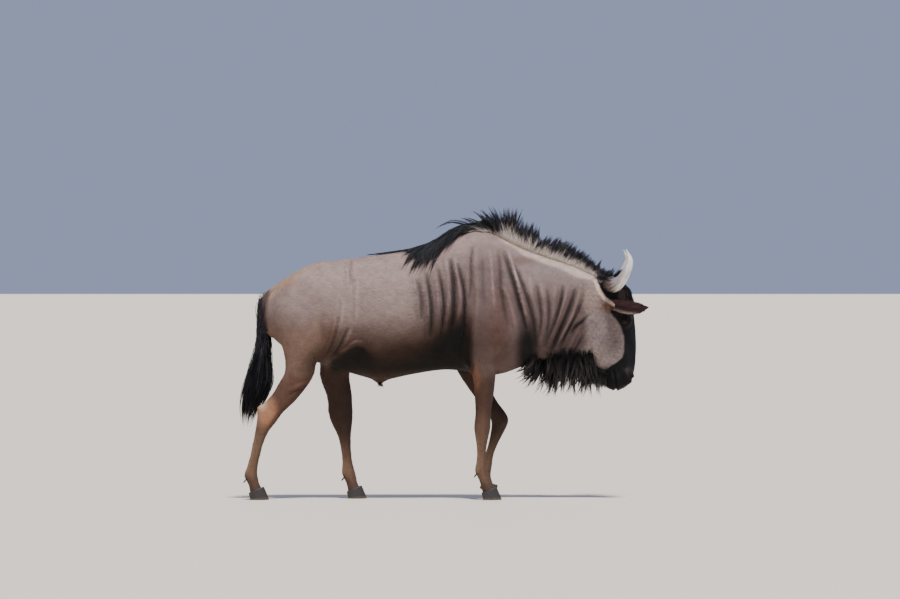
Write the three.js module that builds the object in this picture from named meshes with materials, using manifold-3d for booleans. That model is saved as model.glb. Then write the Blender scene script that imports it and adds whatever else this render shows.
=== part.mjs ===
// A life-size blue wildebeest bull, walking with its head low, as a museum shows it.
// Millimetres. +X is the way it walks, +Y is its left side, +Z is up. The floor is z = 0,
// and the origin is on the floor under the middle of the animal.
//
// Trunk, head and limbs are each a profile carried along a line. They are joined into one
// body, which plane cuts 0.3 mm wide then part into torso, neck, head and legs. The locks of
// mane, beard and tail are fused to the part that they grow from.
import * as THREE from "three";
import { mergeVertices } from "three/addons/utils/BufferGeometryUtils.js";
import Module from "manifold-3d";

const wasm = await Module();
wasm.setup();

// Driving dimensions
const GAP = 0.3; // between pieces that meet
const MIDDLE = 20; // the origin lies this far ahead of the zero that x is measured from
const SUNK = 28; // how deep the root of a lock goes into what it grows from
const RIGHT = -1;
const LEFT = 1;
const UP = new THREE.Vector3(0, 0, 1);
const SIDE = new THREE.Vector3(0, 1, 0);

// Trunk and neck in one: at each length x the height of the back line, the height of the
// belly line, the half width, and how much wider the lower half is than the upper (egg).
const TRUNK = [
  { x: -915, top: 1085, bottom: 880, wide: 56, egg: 0 },
  { x: -874, top: 1118, bottom: 827, wide: 98, egg: 0.05 },
  { x: -811, top: 1157, bottom: 775, wide: 137, egg: 0.05 },
  { x: -738, top: 1200, bottom: 738, wide: 167, egg: 0.05 },
  { x: -634, top: 1239, bottom: 702, wide: 187, egg: 0.05 },
  { x: -504, top: 1253, bottom: 660, wide: 196, egg: 0.1 },
  { x: -322, top: 1275, bottom: 617, wide: 210, egg: 0.15 },
  { x: -156, top: 1300, bottom: 645, wide: 214, egg: 0.2 },
  { x: -10, top: 1340, bottom: 668, wide: 210, egg: 0.25 },
  { x: 83, top: 1387, bottom: 666, wide: 200, egg: 0.32 },
  { x: 166, top: 1404, bottom: 655, wide: 188, egg: 0.35 },
  { x: 250, top: 1391, bottom: 640, wide: 178, egg: 0.35 },
  { x: 328, top: 1352, bottom: 652, wide: 161, egg: 0.3 },
  { x: 416, top: 1308, bottom: 684, wide: 134, egg: 0.22 },
  { x: 536, top: 1264, bottom: 716, wide: 110, egg: 0.12 },
  { x: 655, top: 1225, bottom: 728, wide: 95, egg: 0.05 },
  { x: 749, top: 1186, bottom: 725, wide: 86, egg: 0 },
  { x: 822, top: 1144, bottom: 745, wide: 74, egg: 0 },
  { x: 880, top: 1080, bottom: 800, wide: 50, egg: 0 },
];

// Bone and muscle that stand out from that smooth trunk, or sink in: the middle of each, how far
// it reaches along and up, and how far it stands out on both sides.
const TRUNK_FORMS = [
  { x: 198, z: 1115, long: 92, high: 190, out: 12 }, // shoulder blade
  { x: 90, z: 880, long: 88, high: 90, out: 14 }, // upper arm
  { x: 2, z: 835, long: 42, high: 110, out: -14 }, // hollow behind the elbow
  { x: 415, z: 860, long: 45, high: 150, out: -14 }, // hollow before the shoulder
  { x: -296, z: 900, long: 200, high: 150, out: 7 }, // barrel of the ribs
  { x: -478, z: 1040, long: 75, high: 110, out: -14 }, // flank
  { x: -545, z: 1205, long: 45, high: 42, out: 15 }, // point of the hip
  { x: -790, z: 1080, long: 40, high: 45, out: 9 }, // seat bone
  { x: -700, z: 905, long: 105, high: 120, out: 9 }, // thigh
];

// Head, from crown to lips: a point of the face line, the point of the jaw line behind it,
// the half width, and how much wider the jaw side is than the face side.
const HEAD = [
  { face: [900, 1134], jaw: [838, 1136], wide: 44, egg: 0 },
  { face: [957, 1098], jaw: [806, 1112], wide: 74, egg: 0.05 },
  { face: [982, 1050], jaw: [786, 1070], wide: 80, egg: 0.06 },
  { face: [995, 1000], jaw: [768, 1018], wide: 82, egg: 0.08 },
  { face: [1001, 945], jaw: [750, 955], wide: 80, egg: 0.04 },
  { face: [1008, 878], jaw: [737, 878], wide: 74, egg: 0.1 },
  { face: [1011, 805], jaw: [734, 798], wide: 66, egg: 0.08 },
  { face: [1010, 750], jaw: [746, 738], wide: 58, egg: 0 },
  { face: [1007, 705], jaw: [782, 694], wide: 52, egg: -0.1 },
  { face: [1000, 662], jaw: [826, 662], wide: 52, egg: -0.14 },
  { face: [984, 616], jaw: [842, 622], wide: 59, egg: -0.12 },
  { face: [957, 582], jaw: [848, 588], wide: 48, egg: -0.1 },
  { face: [922, 566], jaw: [872, 569], wide: 24, egg: 0 },
];

// Legs, from inside the trunk to the coronet: centre x and z, distance from the middle of the
// body, half length fore and aft, and half width from side to side.
const RIGHT_FORELEG = [
  { x: 172, z: 1269, off: 60, fore: 66, side: 44 },
  { x: 198, z: 1087, off: 106, fore: 104, side: 78 },
  { x: 234, z: 905, off: 122, fore: 118, side: 86 },
  { x: 218, z: 775, off: 128, fore: 112, side: 70 },
  { x: 208, z: 692, off: 125, fore: 82, side: 60 },
  { x: 219, z: 629, off: 123, fore: 62, side: 53 },
  { x: 218, z: 541, off: 121, fore: 53, side: 46 },
  { x: 213, z: 452, off: 119, fore: 43, side: 38 },
  { x: 209, z: 378, off: 117, fore: 45, side: 41 },
  { x: 207, z: 328, off: 116, fore: 37, side: 35 },
  { x: 205, z: 265, off: 115, fore: 27, side: 24 },
  { x: 203, z: 203, off: 114, fore: 26, side: 23 },
  { x: 203, z: 152, off: 113, fore: 35, side: 31 },
  { x: 219, z: 104, off: 113, fore: 30, side: 29 },
  { x: 238, z: 66, off: 112, fore: 37, side: 36 },
  { x: 252, z: 30, off: 112, fore: 42, side: 38 },
];
const LEFT_FORELEG = [
  { x: 165, z: 1269, off: 60, fore: 66, side: 44 },
  { x: 180, z: 1087, off: 106, fore: 104, side: 78 },
  { x: 190, z: 905, off: 122, fore: 118, side: 86 },
  { x: 156, z: 801, off: 126, fore: 110, side: 72 },
  { x: 135, z: 723, off: 125, fore: 90, side: 62 },
  { x: 156, z: 650, off: 123, fore: 74, side: 54 },
  { x: 192, z: 577, off: 121, fore: 61, side: 48 },
  { x: 239, z: 504, off: 119, fore: 54, side: 42 },
  { x: 286, z: 442, off: 117, fore: 52, side: 42 },
  { x: 302, z: 400, off: 117, fore: 47, side: 42 },
  { x: 291, z: 352, off: 116, fore: 38, side: 36 },
  { x: 266, z: 283, off: 115, fore: 27, side: 24 },
  { x: 245, z: 222, off: 114, fore: 26, side: 23 },
  { x: 227, z: 165, off: 113, fore: 35, side: 31 },
  { x: 227, z: 116, off: 113, fore: 29, side: 29 },
  { x: 234, z: 76, off: 113, fore: 34, side: 34 },
  { x: 240, z: 40, off: 113, fore: 38, side: 37 },
];
const RIGHT_HINDLEG = [
  { x: -738, z: 1113, off: 68, fore: 110, side: 46 },
  { x: -728, z: 983, off: 98, fore: 146, side: 78 },
  { x: -707, z: 853, off: 106, fore: 148, side: 84 },
  { x: -718, z: 764, off: 108, fore: 108, side: 76 },
  { x: -733, z: 702, off: 108, fore: 85, side: 66 },
  { x: -738, z: 655, off: 107, fore: 84, side: 58 },
  { x: -767, z: 603, off: 106, fore: 85, side: 52 },
  { x: -798, z: 556, off: 105, fore: 80, side: 47 },
  { x: -842, z: 504, off: 103, fore: 80, side: 42 },
  { x: -887, z: 452, off: 102, fore: 68, side: 41 },
  { x: -910, z: 400, off: 101, fore: 53, side: 38 },
  { x: -931, z: 359, off: 100, fore: 40, side: 32 },
  { x: -952, z: 296, off: 100, fore: 31, side: 25 },
  { x: -972, z: 213, off: 100, fore: 29, side: 24 },
  { x: -985, z: 161, off: 100, fore: 32, side: 27 },
  { x: -991, z: 125, off: 100, fore: 38, side: 32 },
  { x: -974, z: 78, off: 100, fore: 32, side: 31 },
  { x: -961, z: 48, off: 100, fore: 38, side: 37 },
  { x: -952, z: 20, off: 100, fore: 42, side: 38 },
];
const LEFT_HINDLEG = [
  { x: -676, z: 1113, off: 72, fore: 110, side: 48 },
  { x: -645, z: 983, off: 100, fore: 140, side: 78 },
  { x: -593, z: 853, off: 106, fore: 125, side: 84 },
  { x: -562, z: 764, off: 108, fore: 100, side: 75 },
  { x: -556, z: 702, off: 108, fore: 86, side: 65 },
  { x: -561, z: 645, off: 107, fore: 83, side: 56 },
  { x: -551, z: 593, off: 106, fore: 78, side: 50 },
  { x: -537, z: 541, off: 105, fore: 71, side: 45 },
  { x: -530, z: 478, off: 103, fore: 67, side: 41 },
  { x: -527, z: 426, off: 102, fore: 65, side: 41 },
  { x: -520, z: 380, off: 101, fore: 54, side: 38 },
  { x: -510, z: 328, off: 100, fore: 38, side: 31 },
  { x: -502, z: 265, off: 100, fore: 30, side: 25 },
  { x: -494, z: 192, off: 100, fore: 29, side: 24 },
  { x: -487, z: 130, off: 100, fore: 38, side: 32 },
  { x: -470, z: 80, off: 100, fore: 32, side: 31 },
  { x: -457, z: 48, off: 100, fore: 38, side: 37 },
  { x: -448, z: 20, off: 100, fore: 42, side: 38 },
];

// The dock of the tail, from the rump to where only hair is left.
const TAIL = [
  { x: -850, z: 1105, off: 0, fore: 34, side: 30 },
  { x: -890, z: 1080, off: 0, fore: 36, side: 28 },
  { x: -918, z: 1040, off: 0, fore: 30, side: 26 },
  { x: -926, z: 985, off: 0, fore: 27, side: 25 },
  { x: -928, z: 900, off: 0, fore: 25, side: 23 },
  { x: -929, z: 820, off: 0, fore: 22, side: 20 },
  { x: -933, z: 740, off: 0, fore: 17, side: 15 },
];

// Where the body is parted: a point of each cut and the direction of its far side, in x and z.
const NECK_CUT = { at: [289, 1368], to: [0.985, 0.174] };
const HEAD_CUT = { at: [790, 1165], to: [0.99, -0.14] };
const FORELEG_CUT = { at: [200, 612], to: [0, -1] };
const HINDLEG_CUT = { at: [-842, 764], to: [-0.348, -0.937] };

// Eyes, ears and horns, all on the head
const EYE = { at: [946, 66, 925], radius: 20 };
const EAR_LINE = [[842, 60, 1018], [892, 86, 1012], [962, 116, 997], [1025, 136, 993], [1071, 148, 998]];
const EAR_HALF_WIDTH = [18, 28, 35, 27, 3];
const HORN_LINE = [
  [868, 22, 1106],
  [880, 82, 1116],
  [896, 146, 1112],
  [925, 203, 1136],
  [954, 236, 1186],
  [969, 239, 1240],
  [951, 220, 1296],
];
const HORN_RADIUS = [44, 42, 37, 32, 26, 19, 4];

// Hoof: two claws side by side under each foot
const CLAW = { long: 98, wide: 37, high: 52, apart: 42 };

// Hair
const MANE = { from: 838, to: 318, count: 14, length: 106, width: 40, thick: 13 };
const WITHERS_MANE = {
  upright: { from: 326, to: 104, count: 12 },
  draped: { from: 110, to: -10, count: 5 },
  length: 205,
  width: 44,
  thick: 13,
};
const BACK_MANE = { from: -90, to: -330, count: 5, length: 130, width: 28, thick: 10 };
const FORELOCK = { count: 4, length: 62, width: 30, thick: 12 };
const BEARD = { from: 440, to: 776, count: 9, length: 186, width: 42, thick: 14 };
const CHIN_BEARD = { from: 716, to: 652, count: 3, length: 128, width: 30, thick: 12 };
const TUFT = { count: 14, from: 835, to: 735, length: 400, width: 52, thick: 18 };

// A seeded draw from 0 to 1, so that the coat is the same each time.
function makeDraw(seed) {
  let state = seed;
  return () => {
    state = (state * 1664525 + 1013904223) % 4294967296;
    return state / 4294967296;
  };
}

const mix = (a, b, t) => a + (b - a) * t;

// A smooth line through evenly spaced stations: each key of the stations at t from 0 to 1.
function stationsAt(stations, keys) {
  const lines = keys.map(
    (key) =>
      new THREE.CatmullRomCurve3(
        stations.map((s) => new THREE.Vector3(key(s), 0, 0)),
        false,
        "catmullrom",
        0.5,
      ),
  );
  return (t) => lines.map((line) => line.getPoint(t).x);
}

// A closed surface: place(t, angle) gives its points, for t from 0 to 1 and once round.
function closedSurface(rows, columns, place) {
  const points = [];
  for (let i = 0; i <= rows; i++)
    for (let j = 0; j < columns; j++) points.push(place(i / rows, (j / columns) * 2 * Math.PI));
  const faces = [];
  for (let i = 0; i < rows; i++)
    for (let j = 0; j < columns; j++) {
      const a = i * columns + j;
      const b = i * columns + ((j + 1) % columns);
      faces.push(a, b, b + columns, a, b + columns, a + columns);
    }
  for (const row of [0, rows]) {
    const ring = points.slice(row * columns, (row + 1) * columns);
    const pole = points.length;
    points.push(ring.reduce((sum, p) => sum.add(p), new THREE.Vector3()).divideScalar(columns));
    for (let j = 0; j < columns; j++) {
      const a = row * columns + j;
      const b = row * columns + ((j + 1) % columns);
      if (row === 0) faces.push(b, a, pole);
      else faces.push(a, b, pole);
    }
  }
  const geometry = new THREE.BufferGeometry().setFromPoints(points);
  geometry.setIndex(faces);
  return geometry;
}

function solidOf(geometry) {
  const bare = geometry.clone();
  bare.deleteAttribute("normal");
  bare.deleteAttribute("uv");
  const merged = mergeVertices(bare, 1e-4);
  const solidWith = (order) => {
    const index = merged.index.array;
    const triVerts = new Uint32Array(index.length);
    for (let i = 0; i < index.length; i += 3)
      for (let k = 0; k < 3; k++) triVerts[i + k] = index[i + order[k]];
    return new wasm.Manifold(
      new wasm.Mesh({ numProp: 3, vertProperties: merged.attributes.position.array, triVerts }),
    );
  };
  const solid = solidWith([0, 1, 2]);
  return solid.volume() > 0 ? solid : solidWith([0, 2, 1]);
}

function geometryOf(solid) {
  const mesh = solid.getMesh();
  const points = [];
  for (let i = 0; i < mesh.numVert; i++)
    points.push(new THREE.Vector3().fromArray(mesh.vertProperties, i * mesh.numProp));
  const geometry = new THREE.BufferGeometry().setFromPoints(points);
  geometry.setIndex([...mesh.triVerts]);
  return geometry;
}

const joined = (solids) => wasm.Manifold.union(solids);

function largest(solid) {
  return solid.decompose().sort((a, b) => b.volume() - a.volume())[0];
}

// What lies on the far side of a cut that stands square to the middle plane of the body.
function beyond(solid, cut, gap = 0) {
  const [nx, nz] = cut.to;
  return solid.trimByPlane([nx, 0, nz], nx * cut.at[0] + nz * cut.at[1] + gap);
}

function before(solid, cut) {
  const [nx, nz] = cut.to;
  return solid.trimByPlane([-nx, 0, -nz], -(nx * cut.at[0] + nz * cut.at[1]));
}

// An ellipsoid, turned by pitch about the side-to-side axis.
function lump([x, y, z], [rx, ry, rz], pitch = 0, columns = 10) {
  const ball = new THREE.SphereGeometry(1, columns, Math.round(columns * 0.6));
  ball.scale(rx, ry, rz);
  ball.rotateY(pitch);
  ball.translate(x, y, z);
  return solidOf(ball);
}

// Trunk and head surfaces. The angle is 0 at the left side, a quarter turn at the back line
// or face line, and three quarters at the belly or jaw line.
const trunkAt = stationsAt(TRUNK, [(s) => s.x, (s) => s.top, (s) => s.bottom, (s) => s.wide, (s) => s.egg]);

function trunkPoint(t, angle, grow = 0) {
  const [x, top, bottom, wide, egg] = trunkAt(t);
  const z = (top + bottom) / 2 + ((top - bottom) / 2 + grow) * Math.sin(angle);
  let y = (wide + grow) * Math.cos(angle) * (1 - egg * Math.sin(angle));
  for (const form of TRUNK_FORMS) {
    const away = ((x - form.x) / form.long) ** 2 + ((z - form.z) / form.high) ** 2;
    y += form.out * Math.exp(-away) * Math.cos(angle);
  }
  return new THREE.Vector3(x, y, z);
}

// The point of the trunk at a given length x.
function trunkSurface(x, angle) {
  let low = 0;
  let high = 1;
  for (let i = 0; i < 24; i++) {
    const middle = (low + high) / 2;
    if (trunkAt(middle)[0] < x) low = middle;
    else high = middle;
  }
  return trunkPoint(low, angle);
}

// The way out of the trunk at that point.
function trunkNormal(x, angle) {
  const along = trunkSurface(x + 5, angle).sub(trunkSurface(x - 5, angle));
  const around = trunkSurface(x, angle + 0.02).sub(trunkSurface(x, angle - 0.02));
  return around.cross(along).normalize();
}

const headAt = stationsAt(HEAD, [
  (s) => s.face[0],
  (s) => s.face[1],
  (s) => s.jaw[0],
  (s) => s.jaw[1],
  (s) => s.wide,
  (s) => s.egg,
]);

function headPoint(t, angle, grow = 0) {
  const [fx, fz, jx, jz, wide, egg] = headAt(t);
  const face = new THREE.Vector3(fx, 0, fz);
  const jaw = new THREE.Vector3(jx, 0, jz);
  const middle = face.clone().add(jaw).divideScalar(2);
  const forward = face.clone().sub(middle);
  forward.setLength(forward.length() + grow);
  const y = (wide + grow) * Math.cos(angle) * (1 - egg * Math.sin(angle));
  return middle.addScaledVector(forward, Math.sin(angle)).addScaledVector(SIDE, y);
}

function limbSurface(stations, side, columns, steps = 1.4) {
  const at = stationsAt(stations, [(s) => s.x, (s) => s.z, (s) => s.off, (s) => s.fore, (s) => s.side]);
  return closedSurface(Math.round((stations.length - 1) * steps), columns, (t, angle) => {
    const [x, z, off, fore, wide] = at(t);
    return new THREE.Vector3(
      x + fore * Math.cos(angle),
      side * off + wide * Math.sin(angle),
      z,
    );
  });
}

// A flat tapered lock: a line that leaves its root in one direction and bends towards another,
// with a diamond section that is widest a third of the way out and ends in a point.
const SHORT_LOCK = [0, 0.36, 0.72];
const LONG_LOCK = [0, 0.26, 0.54, 0.8];

function lock({ root, way, bend, length, width, thick, face, steps = SHORT_LOCK }) {
  const at = (s) => root.clone().addScaledVector(way, length * s).addScaledVector(bend, length * s * s);
  return lockAlong({ at, faceAt: () => face, width, thick, steps });
}

function lockAlong({ at, faceAt, width, thick, steps }) {
  const rings = steps.map((s) => {
    const tangent = at(s + 0.05).sub(at(s)).normalize();
    const across = new THREE.Vector3().crossVectors(tangent, faceAt(s)).normalize();
    const through = new THREE.Vector3().crossVectors(across, tangent);
    const share = 0.62 + 1.15 * s - 1.7 * s * s;
    across.multiplyScalar((width / 2) * share);
    through.multiplyScalar((thick / 2) * share);
    return { centre: at(s), across, through };
  });
  const points = [];
  for (const { centre, across, through } of rings)
    points.push(
      centre.clone().add(across),
      centre.clone().add(through),
      centre.clone().sub(across),
      centre.clone().sub(through),
    );
  points.push(at(1));
  const faces = [0, 1, 2, 0, 2, 3];
  for (let i = 0; i < rings.length - 1; i++)
    for (let j = 0; j < 4; j++) {
      const a = 4 * i + j;
      const b = 4 * i + ((j + 1) % 4);
      faces.push(a, b + 4, b, a, a + 4, b + 4);
    }
  const last = 4 * (rings.length - 1);
  for (let j = 0; j < 4; j++) faces.push(last + j, last + 4, last + ((j + 1) % 4));
  const geometry = new THREE.BufferGeometry().setFromPoints(points);
  geometry.setIndex(faces);
  return solidOf(geometry);
}

// Mane on the neck: upright locks in two rows along the crest. They lean forward near the head,
// each over the next, and stand straight at the withers.
function maneOnNeck() {
  const draw = makeDraw(11);
  const { from, to, count, length, width, thick } = MANE;
  const pieces = [];
  for (let row = 0; row < 2; row++)
    for (let i = 0; i < count; i++) {
      const share = (i + 0.25 + 0.5 * row) / count;
      const x = mix(from, to, share);
      const side = row === 0 ? RIGHT : LEFT;
      const lean = mix(0.66, -0.12, share) + 0.2 * (draw() - 0.5);
      const root = trunkSurface(x, Math.PI / 2).addScaledVector(UP, -SUNK);
      root.y = side * 6;
      pieces.push(
        lock({
          root,
          way: new THREE.Vector3(Math.sin(lean), side * (0.04 + 0.1 * draw()), Math.cos(lean)).normalize(),
          bend: new THREE.Vector3(0.02, side * 0.04, -0.02),
          length: (length + SUNK) * mix(0.84, 1.12, share) * (0.88 + 0.24 * draw()),
          width: width * (0.9 + 0.3 * draw()),
          thick,
          face: SIDE,
        }),
      );
    }
  return pieces;
}

// Mane on the withers: upright locks over the hump that lean back more and more, and behind them
// long locks that lie back along the spine and drape down over both flanks.
function maneOnWithers() {
  const draw = makeDraw(23);
  const { upright, draped, length, width, thick } = WITHERS_MANE;
  const pieces = [];
  for (let i = 0; i < upright.count; i++) {
    const share = i / (upright.count - 1);
    const side = i % 2 === 0 ? RIGHT : LEFT;
    const root = trunkSurface(mix(upright.from, upright.to, share), Math.PI / 2);
    const lean = mix(-0.04, 1.42, share ** 0.85) + 0.08 * (draw() - 0.5);
    pieces.push(
      lock({
        root: root.addScaledVector(UP, -SUNK).addScaledVector(SIDE, side * 7),
        way: new THREE.Vector3(-Math.sin(lean), side * 0.1 * draw(), Math.cos(lean)).normalize(),
        bend: new THREE.Vector3(-0.06, side * 0.03, -mix(0.02, 0.12, share)),
        length: length * mix(0.64, 0.86, share) * (0.92 + 0.16 * draw()),
        width: width * (0.9 + 0.3 * draw()),
        thick,
        face: SIDE,
      }),
    );
  }
  for (const side of [RIGHT, LEFT])
    for (let i = 0; i < draped.count; i++) {
      const share = (i + (side === RIGHT ? 0.2 : 0.6)) / draped.count;
      const from = mix(draped.from, draped.to, share);
      const back = length * mix(1.0, 0.86, share) * (0.88 + 0.24 * draw());
      const drop = mix(0.5, 1.06, draw());
      const angleAt = (s) => Math.PI / 2 - side * (0.03 + drop * s ** 1.4);
      const at = (s) => {
        const out = trunkNormal(from, angleAt(s));
        const lift = Math.min(15, 110 * s - 14) - 5 * s * s;
        return trunkSurface(from - back * s, angleAt(s)).addScaledVector(out, lift);
      };
      const faceAt = (s) => trunkNormal(from - back * s, angleAt(s));
      const across = width * (0.8 + 0.3 * draw());
      pieces.push(lockAlong({ at, faceAt, width: across, thick, steps: LONG_LOCK }));
    }
  return pieces;
}

// The last of the mane: short locks that lie back along the spine.
function maneOnBack() {
  const { from, to, count, length, width, thick } = BACK_MANE;
  const pieces = [];
  for (let i = 0; i < count; i++) {
    const share = (i + 0.5) / count;
    pieces.push(
      lock({
        root: trunkSurface(mix(from, to, share), Math.PI / 2).addScaledVector(UP, -8),
        way: new THREE.Vector3(-1, 0, 0.02),
        bend: new THREE.Vector3(0, 0, -0.06),
        length: length * mix(1.1, 0.7, share),
        width: width * mix(1.2, 0.7, share),
        thick: thick * mix(1.4, 0.9, share),
        face: UP,
      }),
    );
  }
  return pieces;
}

// Forelock: a few locks that stand on the poll between the horns and lean over the forehead.
function forelock() {
  const draw = makeDraw(5);
  const { count, length, width, thick } = FORELOCK;
  const pieces = [];
  for (let i = 0; i < count; i++) {
    const side = i % 2 === 0 ? RIGHT : LEFT;
    const share = i / (count - 1);
    const lean = mix(0.2, 0.85, share);
    pieces.push(
      lock({
        root: new THREE.Vector3(mix(812, 858, share), side * 12, mix(1125, 1118, share)),
        way: new THREE.Vector3(Math.sin(lean), side * 0.2 * draw(), Math.cos(lean)).normalize(),
        bend: new THREE.Vector3(0.08, 0, -0.06),
        length: length * (0.9 + 0.3 * draw()),
        width,
        thick,
        face: SIDE,
      }),
    );
  }
  return pieces;
}

// Beard: hanging locks in three rows along the underside of the neck.
function beardOnNeck() {
  const draw = makeDraw(31);
  const { from, to, count, length, width, thick } = BEARD;
  const rows = [-0.62, 0, 0.62];
  const pieces = [];
  for (const [row, turn] of rows.entries())
    for (let i = 0; i < count; i++) {
      const share = (i + 0.3 + 0.3 * row) / count;
      const x = mix(from, to, share);
      const grown = Math.min(1, 0.45 + share * 2.2);
      const root = trunkSurface(x, 1.5 * Math.PI + turn);
      const side = Math.sign(root.y);
      root.addScaledVector(UP, SUNK * 0.8);
      root.y *= 0.9;
      const back = mix(-0.3, 0.02, share) + 0.16 * (draw() - 0.5);
      pieces.push(
        lock({
          root,
          way: new THREE.Vector3(back, side * 0.08, -1).normalize(),
          bend: new THREE.Vector3(mix(-0.1, 0.03, share), -side * 0.1, 0.05),
          length: length * grown * (0.84 + 0.26 * draw()),
          width: width * (0.9 + 0.3 * draw()),
          thick,
          face: SIDE,
        }),
      );
    }
  return pieces;
}

// The beard goes on under the jaw, to just short of the chin.
function beardOnChin() {
  const draw = makeDraw(37);
  const { from, to, count, length, width, thick } = CHIN_BEARD;
  const pieces = [];
  for (const side of [RIGHT, LEFT])
    for (let i = 0; i < count; i++) {
      const share = (i + 0.5) / count;
      pieces.push(
        lock({
          root: new THREE.Vector3(mix(800, 858, share), side * 20, mix(from, to, share) + 22),
          way: new THREE.Vector3(-0.3 + 0.12 * draw(), side * 0.06, -1).normalize(),
          bend: new THREE.Vector3(0.06, 0, 0.02),
          length: length * mix(1.15, 0.72, share) * (0.9 + 0.2 * draw()) + 20,
          width: width * (0.9 + 0.3 * draw()),
          thick,
          face: SIDE,
        }),
      );
    }
  return pieces;
}

// Tail tuft: long locks in a ring round the lower half of the dock, that part from it and close
// again towards their tips.
function tailTuft() {
  const draw = makeDraw(43);
  const { count, from, to, length, width, thick } = TUFT;
  const pieces = [];
  for (let i = 0; i < count; i++) {
    const turn = i * 2.4;
    const share = i / (count - 1);
    const out = new THREE.Vector3(Math.cos(turn), Math.sin(turn), 0);
    const reach = (0.75 + 0.4 * draw()) * mix(52, 40, share);
    const start = mix(from, to, share);
    const long = length * mix(0.7, 0.98, share) * (0.92 + 0.14 * draw());
    const at = (s) => {
      const away = 6 + reach * Math.sin(Math.PI * Math.min(1, 0.1 + 0.85 * s)) * (1 - 0.3 * s);
      const back = 14 * s + 62 * s ** 1.6;
      return new THREE.Vector3(-929 - back, 0, start - long * s).addScaledVector(out, away);
    };
    const across = width * (0.85 + 0.3 * draw());
    pieces.push(lockAlong({ at, faceAt: () => out, width: across, thick, steps: LONG_LOCK }));
  }
  return pieces;
}

// The masses of the head: its core, the chewing muscle on the cheek, brow, nose and lips.
const headCore = (grow) => solidOf(closedSurface(20, 20, (t, a) => headPoint(t, a, grow)));

function headMasses(grow) {
  const pieces = [headCore(grow)];
  for (const side of [RIGHT, LEFT])
    pieces.push(
      lump([826, side * 42, 850], [74 + grow, 38 + grow, 118 + grow], 0.1),
      lump([936, side * 52, 932], [52 + grow, 32 + grow, 50 + grow], 0.2),
      lump([956, side * 36, 636], [42 + grow, 27 + grow, 50 + grow], 0.4),
      lump([896, side * 24, 596], [44 + grow, 30 + grow, 28 + grow]),
    );
  return joined(pieces);
}

// The head, cut by the nostrils, the line of the mouth and the sockets of the eyes.
function headSolid() {
  let head = headMasses(0);
  const slit = new THREE.BoxGeometry(4, 200, 150);
  slit.rotateY(-0.12);
  slit.translate(902, 0, 600);
  const palate = lump([905, 0, 636], [60, 47, 62]);
  head = head.subtract(solidOf(slit).subtract(palate));
  for (const side of [RIGHT, LEFT]) {
    head = head.subtract(lump([982, side * 54, 632], [9, 16, 22], 0.5, 8));
    const lids = new THREE.TorusGeometry(EYE.radius - 1, 5, 5, 12);
    lids.scale(1.08, 0.8, 1);
    lids.rotateX(Math.PI / 2);
    lids.rotateZ(side * 0.3);
    lids.translate(EYE.at[0] + 4, side * (EYE.at[1] + 14), EYE.at[2]);
    head = head.add(solidOf(lids));
    head = head.subtract(eyeSolid(side, GAP + 0.1));
  }
  return head;
}

function eyeSolid(side, grow = 0) {
  const ball = new THREE.SphereGeometry(EYE.radius + grow, 12, 8);
  ball.translate(EYE.at[0], side * EYE.at[1], EYE.at[2]);
  return solidOf(ball);
}

// A frame that travels along a line: place, and two directions square to the way it goes.
function travelling(points, side) {
  const line = new THREE.CatmullRomCurve3(
    points.map(([x, y, z]) => new THREE.Vector3(x, side * y, z)),
    false,
    "catmullrom",
    0.5,
  );
  return (t, facing) => {
    const tangent = line.getTangent(t);
    const across = new THREE.Vector3().crossVectors(tangent, facing).normalize();
    return { at: line.getPoint(t), across, out: new THREE.Vector3().crossVectors(across, tangent) };
  };
}

function profileAt(values) {
  return stationsAt(values.map((value) => ({ value })), [(s) => s.value]);
}

// A horn: thick at the boss, out to the side, then up and in to a sharp tip.
function hornSolid(side, grow = 0) {
  const along = travelling(HORN_LINE, side);
  const radiusAt = profileAt(HORN_RADIUS);
  return solidOf(
    closedSurface(11, 10, (t, angle) => {
      const { at, across, out } = along(t, new THREE.Vector3(1, 0, 0));
      const radius = radiusAt(t)[0] + grow;
      return at
        .addScaledVector(across, radius * Math.cos(angle))
        .addScaledVector(out, 0.86 * radius * Math.sin(angle));
    }),
  );
}

// An ear: a leaf that points forward, hollowed from the side that faces out.
function earLeaf(side, share, shift) {
  const along = travelling(EAR_LINE, side);
  const widthAt = profileAt(EAR_HALF_WIDTH);
  const facing = new THREE.Vector3(-0.25, side, -0.25).normalize();
  return solidOf(
    closedSurface(8, 10, (t, angle) => {
      const { at, across, out } = along(t, facing);
      const width = widthAt(t)[0] * share;
      return at
        .addScaledVector(out, shift)
        .addScaledVector(across, width * Math.cos(angle))
        .addScaledVector(out, 0.42 * width * Math.sin(angle));
    }),
  );
}

function earSolid(side, headAndNeck) {
  return earLeaf(side, 1, 0).subtract(earLeaf(side, 0.84, 7)).subtract(headAndNeck);
}

// A claw of a cloven hoof, with its toe to +X, its sole at z = 0 and its coronet sloping back.
function clawGeometry(side) {
  const { long, wide, high, apart } = CLAW;
  const claw = closedSurface(3, 12, (t, angle) => {
    const flare = mix(1, 0.8, t);
    const ahead = Math.cos(angle);
    const point = ahead > 0 ? 1 - 0.45 * ahead ** 3 : 1;
    return new THREE.Vector3(
      (long / 2) * flare * ahead - t * high * 0.36,
      (wide / 2) * flare * Math.sin(angle) * point,
      t * high * (1 + 0.3 * ahead),
    );
  });
  claw.rotateZ(-side * 0.08);
  claw.translate(0, (side * apart) / 2, 0);
  return claw;
}

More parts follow.
